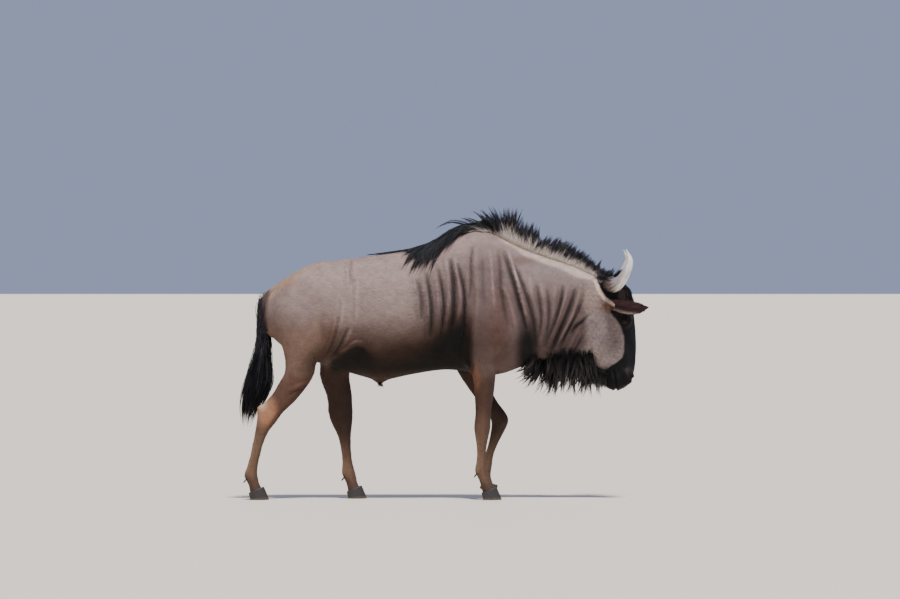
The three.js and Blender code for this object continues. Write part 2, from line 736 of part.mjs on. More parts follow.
// The two claws of a foot, and the cut that takes a shank off above them along the plane of the
// coronet. Pitch lifts the heel about the toe.
function footSolids(x, side, off, pitch) {
  const matrix = new THREE.Matrix4()
    .makeTranslation(x, side * off, 0)
    .multiply(new THREE.Matrix4().makeRotationY(pitch));
  matrix.setPosition(x, side * off, pitch > 0 ? (CLAW.long / 2) * Math.sin(pitch) - 3 : 0);
  const names = { [RIGHT]: "right_claw", [LEFT]: "left_claw" };
  const slope = Math.atan2(0.6 * CLAW.high, 0.8 * CLAW.long);
  const normal = new THREE.Vector3(-Math.sin(slope), 0, Math.cos(slope)).transformDirection(matrix);
  const coronet = new THREE.Vector3(-0.36 * CLAW.high, 0, CLAW.high - 2).applyMatrix4(matrix).dot(normal);
  const claws = [RIGHT, LEFT].map((claw) => {
    const solid = solidOf(clawGeometry(claw).applyMatrix4(matrix));
    const under = solid.trimByPlane(normal.clone().negate().toArray(), -coronet);
    return { name: names[claw], solid: under.trimByPlane([0, 0, 1], 0) };
  });
  return { claws, cutShank: (shank) => shank.trimByPlane(normal.toArray(), coronet + GAP) };
}

function dewclaws(x, side, off, z) {
  return [RIGHT, LEFT].map((claw) => lump([x, side * off + claw * 15, z], [13, 9, 16], 0.5, 8));
}

// Each leg: its stations, side, the middle of its foot, how far the heel is lifted, the place of
// its dewclaws, and its lumps of bone and muscle.
const LEGS = [
  {
    name: "right_foreleg",
    stations: RIGHT_FORELEG,
    side: RIGHT,
    cut: FORELEG_CUT,
    foot: { x: 262, off: 112, pitch: 0 },
    dew: { x: 176, z: 128 },
  },
  {
    name: "left_foreleg",
    stations: LEFT_FORELEG,
    side: LEFT,
    cut: FORELEG_CUT,
    foot: { x: 236, off: 113, pitch: 0.62 },
    dew: { x: 196, z: 150 },
  },
  {
    name: "right_hindleg",
    stations: RIGHT_HINDLEG,
    side: RIGHT,
    cut: HINDLEG_CUT,
    foot: { x: -944, off: 100, pitch: 0 },
    dew: { x: -1018, z: 100 },
    heel: [-932, 452],
  },
  {
    name: "left_hindleg",
    stations: LEFT_HINDLEG,
    side: LEFT,
    cut: HINDLEG_CUT,
    foot: { x: -440, off: 100, pitch: 0 },
    dew: { x: -514, z: 104 },
    heel: [-570, 455],
  },
];

function legSolid(leg) {
  const pieces = [solidOf(limbSurface(leg.stations, leg.side, 12))];
  pieces.push(...dewclaws(leg.dew.x, leg.side, leg.foot.off, leg.dew.z));
  if (leg.heel) pieces.push(lump([leg.heel[0], leg.side * 102, leg.heel[1]], [28, 22, 46], -0.4, 8));
  return joined(pieces);
}

const group = new THREE.Group();
group.name = "blue_wildebeest";
group.position.x = -MIDDLE;

const COLOURS = {
  coat: [0x7d6a64, 0.85],
  head: [0x4a4140, 0.85],
  leg: [0x6b4a36, 0.85],
  hoof: [0x1d1a19, 0.5],
  horn: [0xb9b2aa, 0.45],
  ear: [0x4b3330, 0.85],
  eye: [0x140c08, 0.12],
  tail: [0x17171c, 0.7],
};

function addNode(name, solid, [color, roughness]) {
  const material = new THREE.MeshStandardMaterial({ color, roughness, metalness: 0 });
  const mesh = new THREE.Mesh(geometryOf(largest(solid)), material);
  mesh.name = name;
  group.add(mesh);
}

// All of the flesh and the hair that grows on it, joined
const trunkSolid = (grow) => solidOf(closedSurface(30, 24, (t, a) => trunkPoint(t, a, grow)));
const legSolids = LEGS.map(legSolid);
const sheath = lump([-326, 0, 628], [46, 20, 30], 0.2);
const hair = joined([
  ...maneOnNeck(),
  ...maneOnWithers(),
  ...maneOnBack(),
  ...forelock(),
  ...beardOnNeck(),
  ...beardOnChin(),
]);
const clearOfHorns = hair.subtract(joined([hornSolid(RIGHT, 2), hornSolid(LEFT, 2)]));
const body = joined([trunkSolid(0), sheath, headSolid(), ...legSolids, clearOfHorns]);

// Parted into torso, neck, head and legs
const torso = before(before(before(body, NECK_CUT), FORELEG_CUT), HINDLEG_CUT);
addNode("torso", torso, COLOURS.coat);
addNode("neck", before(beyond(body, NECK_CUT, GAP), HEAD_CUT), COLOURS.coat);
addNode("head", beyond(body, HEAD_CUT, GAP), COLOURS.head);

for (const [i, leg] of LEGS.entries()) {
  const { claws, cutShank } = footSolids(leg.foot.x, leg.side, leg.foot.off, leg.foot.pitch);
  addNode(leg.name, cutShank(beyond(legSolids[i], leg.cut, GAP)), COLOURS.leg);
  for (const claw of claws) addNode(leg.name + "_" + claw.name, claw.solid, COLOURS.hoof);
}

const headAndNeck = joined([headMasses(GAP), headMasses(0).translate([0, 0, GAP]), trunkSolid(GAP)]);
for (const [name, side] of [["right", RIGHT], ["left", LEFT]]) {
  addNode(name + "_horn", hornSolid(side).subtract(headAndNeck), COLOURS.horn);
  addNode(name + "_ear", earSolid(side, headAndNeck), COLOURS.ear);
  addNode(name + "_eye", eyeSolid(side), COLOURS.eye);
}

const dock = solidOf(limbSurface(TAIL, LEFT, 10, 1));
addNode("tail", joined([dock, ...tailTuft()]).subtract(trunkSolid(GAP)), COLOURS.tail);

export default group;
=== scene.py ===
# A life-size blue wildebeest bull, walking with its head low, dressed over its solids.
# Shapes are worked out in millimetres on the same named sizes as the solids, with x measured
# from 20 mm behind the origin, and are written into the meshes in metres.

import bpy
import numpy as np
from mathutils.kdtree import KDTree
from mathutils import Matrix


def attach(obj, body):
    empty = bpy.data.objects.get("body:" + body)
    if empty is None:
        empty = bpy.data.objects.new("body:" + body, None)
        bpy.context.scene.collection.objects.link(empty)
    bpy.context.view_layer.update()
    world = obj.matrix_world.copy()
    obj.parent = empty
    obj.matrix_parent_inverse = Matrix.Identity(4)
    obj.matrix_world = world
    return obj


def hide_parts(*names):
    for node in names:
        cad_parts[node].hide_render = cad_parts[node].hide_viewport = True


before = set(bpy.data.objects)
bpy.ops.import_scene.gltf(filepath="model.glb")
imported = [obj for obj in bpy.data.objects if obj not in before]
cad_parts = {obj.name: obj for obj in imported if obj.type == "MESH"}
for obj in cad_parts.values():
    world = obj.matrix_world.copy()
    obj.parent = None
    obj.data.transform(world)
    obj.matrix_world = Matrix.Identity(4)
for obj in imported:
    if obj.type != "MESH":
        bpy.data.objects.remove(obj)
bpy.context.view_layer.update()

# Flesh
# One skin for trunk, neck, head and legs. It is lofted from the lines of the animal's back,
# belly, face and jaw and from the axes of its limbs, and fused so that no seam shows.

MIDDLE = np.array([20.0, 0.0, 0.0])
RIGHT, LEFT = -1, 1
COAT_DEPTH = 4.0

# Trunk and neck: length x, height of back line and belly line, half width, egg.
TRUNK = [
    (-915, 1085, 880, 56, 0), (-874, 1118, 827, 98, 0.05), (-811, 1157, 775, 137, 0.05),
    (-738, 1200, 738, 167, 0.05), (-634, 1239, 702, 187, 0.05), (-504, 1253, 660, 196, 0.1),
    (-322, 1275, 617, 210, 0.15), (-156, 1300, 645, 214, 0.2), (-10, 1340, 668, 210, 0.25),
    (83, 1387, 666, 200, 0.32), (166, 1404, 655, 188, 0.35), (250, 1391, 640, 178, 0.35),
    (328, 1352, 652, 161, 0.3), (416, 1308, 684, 134, 0.22), (536, 1264, 716, 110, 0.12),
    (655, 1225, 728, 95, 0.05), (749, 1186, 725, 86, 0), (822, 1144, 745, 74, 0),
    (880, 1080, 800, 50, 0),
]

# Head: face line x and z, jaw line x and z, half width, egg.
HEAD = [
    (900, 1134, 838, 1136, 44, 0), (957, 1098, 806, 1112, 74, 0.05),
    (982, 1050, 786, 1070, 80, 0.06), (995, 1000, 768, 1018, 82, 0.08),
    (1001, 945, 750, 955, 80, 0.04), (1008, 878, 737, 878, 74, 0.1),
    (1011, 805, 734, 798, 66, 0.08), (1010, 750, 746, 738, 58, 0),
    (1007, 705, 782, 694, 52, -0.1), (1000, 662, 826, 662, 52, -0.14),
    (984, 616, 842, 622, 59, -0.12), (957, 582, 848, 588, 48, -0.1),
    (922, 566, 872, 569, 24, 0),
]

# Legs: centre x and z, distance from the middle, half length fore and aft, half width.
RIGHT_FORELEG = [
    (172, 1269, 60, 66, 44), (198, 1087, 106, 104, 78), (234, 905, 122, 118, 86),
    (218, 775, 128, 112, 70), (208, 692, 125, 82, 60), (219, 629, 123, 62, 53),
    (218, 541, 121, 53, 46), (213, 452, 119, 43, 38), (209, 378, 117, 45, 41),
    (207, 328, 116, 37, 35), (205, 265, 115, 27, 24), (203, 203, 114, 26, 23),
    (203, 152, 113, 35, 31), (219, 104, 113, 30, 29), (238, 66, 112, 37, 36),
    (252, 30, 112, 42, 38),
]
LEFT_FORELEG = [
    (165, 1269, 60, 66, 44), (180, 1087, 106, 104, 78), (190, 905, 122, 118, 86),
    (156, 801, 126, 110, 72), (135, 723, 125, 90, 62), (156, 650, 123, 74, 54),
    (192, 577, 121, 61, 48), (239, 504, 119, 54, 42), (286, 442, 117, 52, 42),
    (302, 400, 117, 47, 42), (291, 352, 116, 38, 36), (266, 283, 115, 27, 24),
    (245, 222, 114, 26, 23), (227, 165, 113, 35, 31), (227, 116, 113, 29, 29),
    (234, 76, 113, 34, 34), (240, 40, 113, 38, 37),
]
RIGHT_HINDLEG = [
    (-738, 1113, 68, 110, 46), (-728, 983, 98, 146, 78), (-707, 853, 106, 148, 84),
    (-718, 764, 108, 108, 76), (-733, 702, 108, 85, 66), (-738, 655, 107, 84, 58),
    (-767, 603, 106, 85, 52), (-798, 556, 105, 80, 47), (-842, 504, 103, 80, 42),
    (-887, 452, 102, 68, 41), (-910, 400, 101, 53, 38), (-931, 359, 100, 40, 32),
    (-952, 296, 100, 31, 25), (-972, 213, 100, 29, 24), (-985, 161, 100, 32, 27),
    (-991, 125, 100, 38, 32), (-974, 78, 100, 32, 31), (-961, 48, 100, 38, 37),
    (-952, 20, 100, 42, 38),
]
LEFT_HINDLEG = [
    (-676, 1113, 72, 110, 48), (-645, 983, 100, 140, 78), (-593, 853, 106, 125, 84),
    (-562, 764, 108, 100, 75), (-556, 702, 108, 86, 65), (-561, 645, 107, 83, 56),
    (-551, 593, 106, 78, 50), (-537, 541, 105, 71, 45), (-530, 478, 103, 67, 41),
    (-527, 426, 102, 65, 41), (-520, 380, 101, 54, 38), (-510, 328, 100, 38, 31),
    (-502, 265, 100, 30, 25), (-494, 192, 100, 29, 24), (-487, 130, 100, 38, 32),
    (-470, 80, 100, 32, 31), (-457, 48, 100, 38, 37), (-448, 20, 100, 42, 38),
]
# Where each foot stands: x, distance from the middle, and how far its heel is lifted.
FEET = {
    ("fore", RIGHT): (262, 112, 0.0), ("fore", LEFT): (236, 113, 0.62),
    ("hind", RIGHT): (-944, 100, 0.0), ("hind", LEFT): (-440, 100, 0.0),
}
TAIL = [
    (-850, 1105, 0, 34, 30), (-890, 1080, 0, 36, 28), (-918, 1040, 0, 30, 26),
    (-926, 985, 0, 27, 25), (-928, 900, 0, 25, 23), (-929, 820, 0, 22, 20),
    (-933, 740, 0, 17, 15),
]


def through(stations, t):
    """Smooth values at t from 0 to 1: the even Catmull-Rom cubic through the stations, with
    the line mirrored past its two ends."""
    s = np.asarray(stations, float)
    s = s[:, None] if s.ndim == 1 else s
    s = np.vstack([2 * s[0] - s[1], s, 2 * s[-1] - s[-2]])
    u = np.clip(t, 0, 1) * (len(s) - 3)
    i = np.minimum(u.astype(int), len(s) - 4)
    f = (u - i)[..., None]
    a, b, c, d = (s[i + k] for k in range(4))
    square = 2 * a - 5 * b + 4 * c - d
    cube = 3 * b - a - 3 * c + d
    return 0.5 * (2 * b + (c - a) * f + square * f**2 + cube * f**3)


def step(low, high, value):
    """0 below low, 1 above high, and the smooth cubic 3s² - 2s³ between them."""
    s = np.clip((value - low) / (high - low), 0, 1)
    return s * s * (3 - 2 * s)


def hump(value, centre, reach):
    """The bell curve exp(-((value - centre) / reach)²)."""
    return np.exp(-(((value - centre) / reach) ** 2))


def ring_grid(rows, around):
    """Two parameters on a grid: t from 0 to 1 along, and an angle once round."""
    turn = np.linspace(0, 2 * np.pi, around, endpoint=False)
    return np.meshgrid(np.linspace(0, 1, rows), turn, indexing="ij")


def open_tube(rings):
    """Triangles for rings of points (rows, around, 3), two between neighbours, and no ends."""
    rows, around, _ = rings.shape
    i, j = np.meshgrid(np.arange(rows - 1), np.arange(around), indexing="ij")
    a, b = i * around + j, i * around + (j + 1) % around
    sides = np.stack([a, b, b + around, a, b + around, a + around], -1).reshape(-1, 3)
    return rings.reshape(-1, 3), sides


def closed_tube(rings):
    """An open tube with a fan from each end ring to its mean. Turned over if the volume it
    encloses comes out negative."""
    rows, around, _ = rings.shape
    walls, sides = open_tube(rings)
    first = np.arange(around)
    after = (first + 1) % around
    base = (rows - 1) * around
    start = np.stack([after, first, np.full(around, rows * around)], -1)
    end = np.stack([base + first, base + after, np.full(around, rows * around + 1)], -1)
    points = np.concatenate([walls, [rings[0].mean(0)], [rings[-1].mean(0)]])
    faces = np.concatenate([sides, start, end])
    p, q, r = (points[faces[:, k]] for k in range(3))
    if np.einsum("ij,ij->i", p, np.cross(q, r)).sum() < 0:
        faces = faces[:, ::-1]
    return points, faces


def joined(parts):
    """One list of points and one of faces from many, the faces of each counted on."""
    starts = np.cumsum([0] + [len(points) for points, _ in parts])
    faces = [part[1] + start for part, start in zip(parts, starts)]
    return np.concatenate([part[0] for part in parts]), np.concatenate(faces)


def put(name, points, faces, smooth=True):
    """A mesh object from points in millimetres and an array of faces, all of one size."""
    mesh = bpy.data.meshes.new(name)
    mesh.vertices.add(len(points))
    mesh.vertices.foreach_set("co", ((points - MIDDLE) / 1000).astype(np.float32).ravel())
    mesh.loops.add(faces.size)
    mesh.loops.foreach_set("vertex_index", faces.astype(np.int32).ravel())
    mesh.polygons.add(len(faces))
    starts = np.arange(0, faces.size, faces.shape[1], dtype=np.int32)
    mesh.polygons.foreach_set("loop_start", starts)
    mesh.polygons.foreach_set("use_smooth", np.full(len(faces), smooth))
    mesh.update(calc_edges=True)
    piece = bpy.data.objects.new(name, mesh)
    bpy.context.scene.collection.objects.link(piece)
    return piece


def trunk_surface(t, angle):
    """Half an ellipse up to the back line and half down to the belly line at each length x,
    its width times 1 - egg sin(angle), so that the lower side is the wider."""
    x, top, bottom, wide, egg = np.moveaxis(through(TRUNK, t), -1, 0)
    y = wide * np.cos(angle) * (1 - egg * np.sin(angle))
    return np.stack([x, y, (top + bottom) / 2 + (top - bottom) / 2 * np.sin(angle)], -1)


def head_surface(t, angle):
    """An ellipse across the line from each point of the face to its point of the jaw."""
    fx, fz, jx, jz, wide, egg = np.moveaxis(through(HEAD, t), -1, 0)
    y = wide * np.cos(angle) * (1 - egg * np.sin(angle))
    x = (fx + jx) / 2 + (fx - jx) / 2 * np.sin(angle)
    return np.stack([x, y, (fz + jz) / 2 + (fz - jz) / 2 * np.sin(angle)], -1)


def limb(stations, side, rows=110, around=36):
    """Level ellipses carried down the axis of a limb."""
    t, angle = ring_grid(rows, around)
    x, z, off, fore, wide = np.moveaxis(through(stations, t), -1, 0)
    y = side * off + wide * np.sin(angle)
    return closed_tube(np.stack([x + fore * np.cos(angle), y, z], -1))


def lump(centre, reach, pitch, rows=24, around=28):
    """An ellipsoid, pitched about the side-to-side axis."""
    t, angle = ring_grid(rows, around)
    t = np.pi * (0.01 + 0.98 * t)
    x = reach[0] * np.sin(t) * np.cos(angle)
    y = reach[1] * np.sin(t) * np.sin(angle)
    z = reach[2] * np.cos(t)
    turned = [x * np.cos(pitch) + z * np.sin(pitch), y, z * np.cos(pitch) - x * np.sin(pitch)]
    return closed_tube(np.stack(turned, -1) + centre)


# Rounded forms fused to the rest, each its middle, its reach and its pitch: one sheath, the
# points of the hocks, and on each side of the head cheek, brow, nostril, lip and ear root.
SHEATH = ((-326, 0, 628), (46, 20, 30), 0.2)
HOCKS = [
    ((-932, RIGHT * 102, 452), (28, 22, 46), -0.4), ((-570, LEFT * 102, 455), (28, 22, 46), -0.4),
]
HEAD_LUMPS = [
    ((826, 42, 850), (74, 38, 118), 0.1), ((936, 50, 934), (54, 32, 50), 0.2),
    ((956, 36, 636), (42, 27, 50), 0.4), ((896, 24, 596), (44, 30, 28), 0.0),
    ((866, 70, 1016), (26, 24, 26), 0.0),
]
flesh = [
    closed_tube(trunk_surface(*ring_grid(170, 120))),
    closed_tube(head_surface(*ring_grid(150, 100))),
    lump(*SHEATH),
]
LIMBS = [
    (RIGHT_FORELEG, "fore", RIGHT), (LEFT_FORELEG, "fore", LEFT),
    (RIGHT_HINDLEG, "hind", RIGHT), (LEFT_HINDLEG, "hind", LEFT),
]
for stations, end, side in LIMBS:
    flesh.append(limb(stations, side))
flesh += [lump(*hock) for hock in HOCKS]
flesh.append(limb(TAIL, LEFT, rows=60))
for side in (RIGHT, LEFT):
    for (x, y, z), reach, pitch in HEAD_LUMPS:
        flesh.append(lump((x, side * y, z), reach, pitch))

# Space is spread 2.9 times round the head while the flesh is fused, so that one size of voxel
# gives the face a mesh that much finer than the body's.
FACE_CENTRE = np.array([878.0, 0.0, 850.0])
SPREAD, SPREAD_REACH, VOXEL = 2.9, 335.0, 12.3


def spread(points):
    """Distances from the middle of the head times SPREAD, up to the reach, and past it the
    same further distance added."""
    away = points - FACE_CENTRE
    r = np.linalg.norm(away, axis=1, keepdims=True) + 1e-9
    far = SPREAD * SPREAD_REACH + r - SPREAD_REACH
    return FACE_CENTRE + away / r * np.where(r < SPREAD_REACH, SPREAD * r, far)


def gathered(points):
    """The inverse of spread."""
    away = points - FACE_CENTRE
    r = np.linalg.norm(away, axis=1, keepdims=True) + 1e-9
    far = SPREAD_REACH + r - SPREAD * SPREAD_REACH
    return FACE_CENTRE + away / r * np.where(r < SPREAD * SPREAD_REACH, r / SPREAD, far)


def read(mesh, collection="vertices", key="co", size=3, kind=np.float32):
    """One property of all the elements of a mesh, as an array."""
    values = np.empty(len(getattr(mesh, collection)) * size, kind)
    getattr(mesh, collection).foreach_get(key, values)
    return values.reshape(-1, size) if size > 1 else values


points, faces = joined(flesh)
rough = put("rough_flesh", spread(points), faces)
fuse = rough.modifiers.new("fuse", "REMESH")
fuse.mode, fuse.voxel_size, fuse.use_smooth_shade = "VOXEL", VOXEL / 1000, True
fused = bpy.data.meshes.new_from_object(
    rough.evaluated_get(bpy.context.evaluated_depsgraph_get())
)
bpy.data.objects.remove(rough)
skin_points = gathered(read(fused).astype(float) * 1000 + MIDDLE)
skin_edges = read(fused, "edges", "vertices", 2, np.int32)
skin_joins = np.bincount(skin_edges.ravel(), minlength=len(skin_points))[:, None]


def relaxed(points, amount, turns):
    """Each point moves by its amount towards the mean of its neighbours, so many times."""
    a, b = skin_edges.T
    for _ in range(turns):
        total = [
            np.bincount(a, points[b, k], len(points)) + np.bincount(b, points[a, k], len(points))
            for k in range(3)
        ]
        points = points + amount * (np.stack(total, -1) / skin_joins - points)
    return points


def settled(points):
    """Joints of limb and trunk, where one muscle runs into the next, are smoothed the most,
    and the slim limbs and the face the least."""
    x, _, z = points.T
    on_face = 1 - step(300, 380, np.linalg.norm(points - FACE_CENTRE, axis=1))
    on_limb = 1 - step(560, 760, z + 0.3 * np.maximum(0, x - 380))
    soft = np.clip(0.5 - 0.42 * on_limb - 0.25 * on_face, 0.06, 1)[:, None]
    return relaxed(points, soft, 22)


def set_points(mesh, points):
    """The mesh's points moved to places in millimetres."""
    mesh.vertices.foreach_set("co", ((points - MIDDLE) / 1000).astype(np.float32).ravel())
    mesh.update()


def normals_now(mesh, points):
    """The smooth normals that a mesh has once its points are moved."""
    set_points(mesh, points)
    return read(mesh, "vertex_normals", "vector").astype(float)


skin_points = settled(skin_points)

# Millimetres to a pixel of the photograph at the animal, and the pixel over its origin.
MM_PER_PIXEL = 5.2
ORIGIN = np.array([442.0, 499.0])


def seen_at(x, z):
    """Where a place of the side view is in the photograph, in pixels across and down."""
    return ORIGIN[0] + x / MM_PER_PIXEL, ORIGIN[1] - z / MM_PER_PIXEL


def gap_to(line, u, v):
    """How far each place is from a smooth line, and which share of the line is nearest."""
    path = through(line, np.linspace(0, 1, 13))
    start, along = path[:-1], np.diff(path, axis=0)
    away = np.stack([u, v], -1)[:, None] - start
    f = np.clip((away * along).sum(-1) / (along**2).sum(-1), 0, 1)
    gap = np.linalg.norm(away - f[..., None] * along, axis=-1)
    nearest = gap.argmin(1)
    return gap.min(1), (nearest + f[np.arange(len(u)), nearest]) / 12


# Muscle and bone under the skin of each side: its middle and its reach across and down in
# pixels, and how far it stands out in millimetres.
MUSCLES = [
    (481, 282, 13, 33, 8), (485, 329, 16, 20, 14), (508, 334, 9, 16, 9),
    (450, 344, 9, 17, -20), (385, 320, 42, 29, 7), (350, 300, 13, 21, -12),
    (338, 264, 7, 5, 9), (310, 285, 19, 17, 6), (290, 292, 6, 7, 7),
    (305, 325, 18, 23, 9), (333, 325, 10, 17, 8), (320, 330, 4, 19, -6),
    (335, 352, 7, 6, 6), (550, 347, 38, 5, -5), (354, 355, 9, 10, -16),
    (487, 372, 9, 13, 6), (473, 353, 3, 12, -4), (492, 353, 3, 13, -4),
    (294, 376, 3, 11, 5), (309, 374, 4, 13, -4), (528, 345, 8, 20, -16),
]
# Folds of the loose skin of ribs, shoulder and neck, each a line of pixels: how far it stands out or, below
# zero, in, its breadth, both in millimetres, and how much its hair is darkened: the coat's own dark stripes
# with painted shade in the grooves, and, below zero, painted light on the ridges.
FOLDS = [
    (-5, 11, 0.6, [(417, 278), (421, 297), (422, 320)]),
    (-8, 10, 1.0, [(426, 272), (429.5, 290), (431.5, 306), (431.5, 322), (430, 338)]),
    (-9, 8, 0.95, [(438, 268), (442, 287), (444, 303), (443, 320), (440, 340)]),
    (-11, 11, 1.1, [(450, 258), (453, 278), (454, 300), (453, 318), (449, 334)]),
    (-11, 8, 1.1, [(457, 262), (461, 277), (464, 292), (464.5, 310), (463, 330)]),
    (-5, 7, 0.6, [(473, 246), (471, 262), (471, 280), (469, 300)]),
    (4, 8, -0.14, [(423, 282), (427, 300), (428, 322)]),
    (5, 8, -0.18, [(433, 270), (437, 287), (439, 305), (437, 330)]),
    (6, 7, -0.24, [(445, 258), (448, 275), (449.5, 293), (448, 310), (445, 330)]),
    (7, 7, -0.28, [(454, 258), (458, 274), (460.5, 292), (460, 308), (457, 325)]),
    (4, 9, -0.14, [(467, 262), (468, 285), (468, 312), (466, 332)]),
    (4, 9, -0.14, [(475, 248), (476, 275), (477, 300), (475, 328)]),
    (-3, 9, 0.28, [(482, 256), (483, 280), (484, 305)]),
    (5, 6, -0.32, [(490, 250), (491.5, 268), (493, 288), (495, 312)]),
    (-5, 10, 0.5, [(498, 248), (500, 268), (501, 288), (504, 308), (508, 325)]),
    (-12, 12, 1.0, [(503, 250), (509, 268), (514, 284), (518, 299), (522, 314), (526, 330)]),
    (7, 10, -0.2, [(499, 284), (506, 293), (511, 309), (515, 325), (516, 342)]),
    (7, 5, -0.55, [(508, 250), (514, 268), (519, 288), (523, 303), (527, 319), (529, 334)]),
    (-9, 9, 0.8, [(513, 262), (519, 276), (525, 292), (530, 308), (534, 325), (536, 348)]),
    (4, 7, -0.2, [(529, 272), (531, 290), (535, 306), (540, 326)]),
    (-6, 8, 0.5, [(536, 284), (539, 300), (541, 318), (540, 336)]),
    (6, 9, -0.24, [(540, 282), (543, 298), (544.5, 315), (542, 332), (539, 348)]),
    (-5, 7, 0.45, [(547, 288), (548.5, 305), (548, 325), (545, 340)]),
    (5, 7, -0.18, [(555, 286), (553, 303), (552, 320)]),
    (-8, 7, 0.75, [(562.5, 284), (561, 300), (557.5, 314), (553.5, 326), (548, 338), (544, 349)]),
    (7, 8, -0.3, [(568, 284), (564.5, 299), (560.5, 311), (555.5, 324), (550, 336), (543, 351)]),
    (-9, 9, 0.9, [(575, 288), (571, 303), (566, 316), (560.5, 329), (555, 342), (551, 352)]),
    (7, 7, -0.3, [(581, 284), (577, 300), (572.5, 314), (567.5, 325), (561, 337), (555, 350)]),
    (-7, 7, 0.6, [(586, 285), (582, 300), (577.5, 312), (572.5, 322), (566, 334), (560, 347)]),
    (4, 6, -0.2, [(591, 285), (588, 299), (584, 311)]),
    (-3, 5, 0.4, [(595, 293), (592, 305)]),
    (-7, 9, 0.85, [(594, 311), (588, 316.5), (582, 322), (576, 326), (570, 334)]),
    (5, 7, -0.2, [(579, 329), (573, 340), (567, 351)]),
    (-4, 6, 0.4, [(583, 335), (577, 346), (572, 355)]),
    (-3, 8, 0.3, [(352, 258), (350.5, 270), (352, 285)]),
    (3, 9, -0.1, [(357, 275), (357, 300), (356, 320)]),
    (-5, 7, 0.6, [(349, 326), (345, 336), (339, 348), (330, 357)]),
    (6, 7, -0.25, [(352, 326), (348.5, 337), (343, 347)]),
    (7, 5, -0.4, [(341, 352), (346, 348.5), (351, 344), (358, 341), (366, 343)]),
    (-6, 8, 0.45, [(340, 315), (337, 330), (332, 345), (325, 358)]),
    (3, 8, -0.15, [(344, 300), (342, 318), (338, 333)]),
    (-12, 6, 0.8, [(466, 322), (463.5, 335), (460.5, 346), (459, 362)]),
    (5, 5, -0.3, [(469, 338), (470, 350), (470.5, 361)]),
    (-5, 5, 0.6, [(465, 348), (466, 356), (468, 365)]),
    (-5, 6, 0.5, [(474, 362), (472, 372), (473, 382)]),
    (4, 7, -0.12, [(313, 382), (300, 385), (288, 390)]),
    (-3, 5, 0.3, [(310, 387), (298, 390), (286, 396)]),
]


def fold_lines(x, z):
    """Each fold is a bell curve of the distance from its smooth line, with a weaker curve of the other sign
    on both sides of it, faded out towards its ends. Gives relief, and the darkening of the hair: dark
    stripes with painted shade in the grooves, and painted light on the ridges where it is below zero."""
    u, v = seen_at(x, z)
    relief, shade = np.zeros_like(x), np.zeros_like(x)
    for out, breadth, dark, line in FOLDS:
        d, share = gap_to(line, u, v)
        d = d * MM_PER_PIXEL
        fade = np.clip(5 * share * (1 - share), 0, 1) ** 0.6
        relief += 1.2 * out * fade * (hump(d, 0, breadth) - 0.35 * hump(d, 2 * breadth, breadth))
        # the hair's darkening: dark stripes with painted shade, and below zero painted light
        shade += dark * fade * hump(d, 0, 1.1 * breadth)
    return relief, shade


def differing_side(points, shift=13.0):
    """The lengths and heights at which the folds are looked up: the points' own on the right
    side, and on the left moved by slow waves, so that the two sides differ."""
    x, y, z = points.T
    side = np.where(y < 0, 0.0, shift)
    return x + side * np.sin(z / 70), z + side * np.cos(x / 90)


def behind_head(x, z):
    """1 over trunk and neck, fading to 0 where the head begins behind the jaw."""
    return 1 - step(755, 800, x + 0.2 * (z - 900))


# Relief of each side of the head: x and z, reach along and up, how far out.
FACE_FORMS = [
    (944, 930, 48, 38, 4), (946, 925, 18, 11, -9), (936, 966, 40, 12, 6), (905, 925, 12, 30, -3),
    (958, 880, 16, 26, 3), (940, 800, 10, 90, 3), (905, 780, 22, 90, -5),
    (852, 850, 46, 80, 5), (800, 800, 14, 80, -3), (985, 700, 14, 70, -4),
    (905, 690, 30, 26, 3), (872, 612, 18, 26, 3), (968, 640, 26, 42, 4),
]


def relief_at(points, normals):
    """How far the skin stands out along its normal: the sum of the forms, the folds on the
    outer side alone, less the depth of the coat."""
    x, y, z = points.T
    outer = np.clip(np.abs(normals[:, 1]) * 1.5 - 0.1, 0, 1) * step(20, 60, np.abs(y))
    body = behind_head(x, z)
    out = np.zeros_like(x)
    u, v = seen_at(x, z)
    for cu, cv, long, high, tall in MUSCLES:
        out += tall * outer * body * hump(u, cu, long) * hump(v, cv, high)
    out += fold_lines(*differing_side(points))[0] * outer * body
    for cx, cz, long, high, tall in FACE_FORMS:
        out += tall * outer * (1 - body) * hump(x, cx, long) * hump(z, cz, high)
    return out - coat_depth(x, z)


def coat_depth(x, z):
    """The full depth over the trunk, a third of it on the face and the feet."""
    face = step(780, 860, x)
    shank = 1 - step(250, 650, z)
    return COAT_DEPTH * (1 - 0.66 * np.maximum(face, shank))


NOSTRIL = np.array([984.0, 50.0, 634.0])
LIPS = [(905, 560), (903, 590), (897, 630), (888, 676)]


def muzzle_cuts(points):
    """The nostril is a comma pushed in from the front of the side, under a raised wing, and
    the mouth a groove up from the end of the muzzle between rolled lips."""
    x, y, z = points.T
    u = (x - NOSTRIL[0]) * 0.88 + (z - NOSTRIL[2]) * 0.47
    v = (z - NOSTRIL[2]) * 0.88 - (x - NOSTRIL[0]) * 0.47 - 0.02 * u**2
    side = step(22, 34, np.abs(y)) * step(920, 950, x)
    hole = side * hump(u, 0, 7.5) * hump(v, -2, 17)
    wing = side * (hump(u, -13, 8) * hump(v, 4, 22) + 0.7 * hump(u, 10, 6) * hump(v, 0, 20))
    line = through(LIPS, np.linspace(0, 1, 40))
    mouth_x = np.interp(z, line[:, 1], line[:, 0])
    low = (1 - step(660, 686, z)) * step(800, 850, x)
    mouth = low * hump(x, mouth_x, 5.0)
    lips = low * (hump(x, mouth_x + 13, 8) + 0.9 * hump(x, mouth_x - 12, 8))
    return hole, wing, mouth, lips


CORONET_SLOPE = np.arctan2(0.6 * 52, 0.8 * 98)


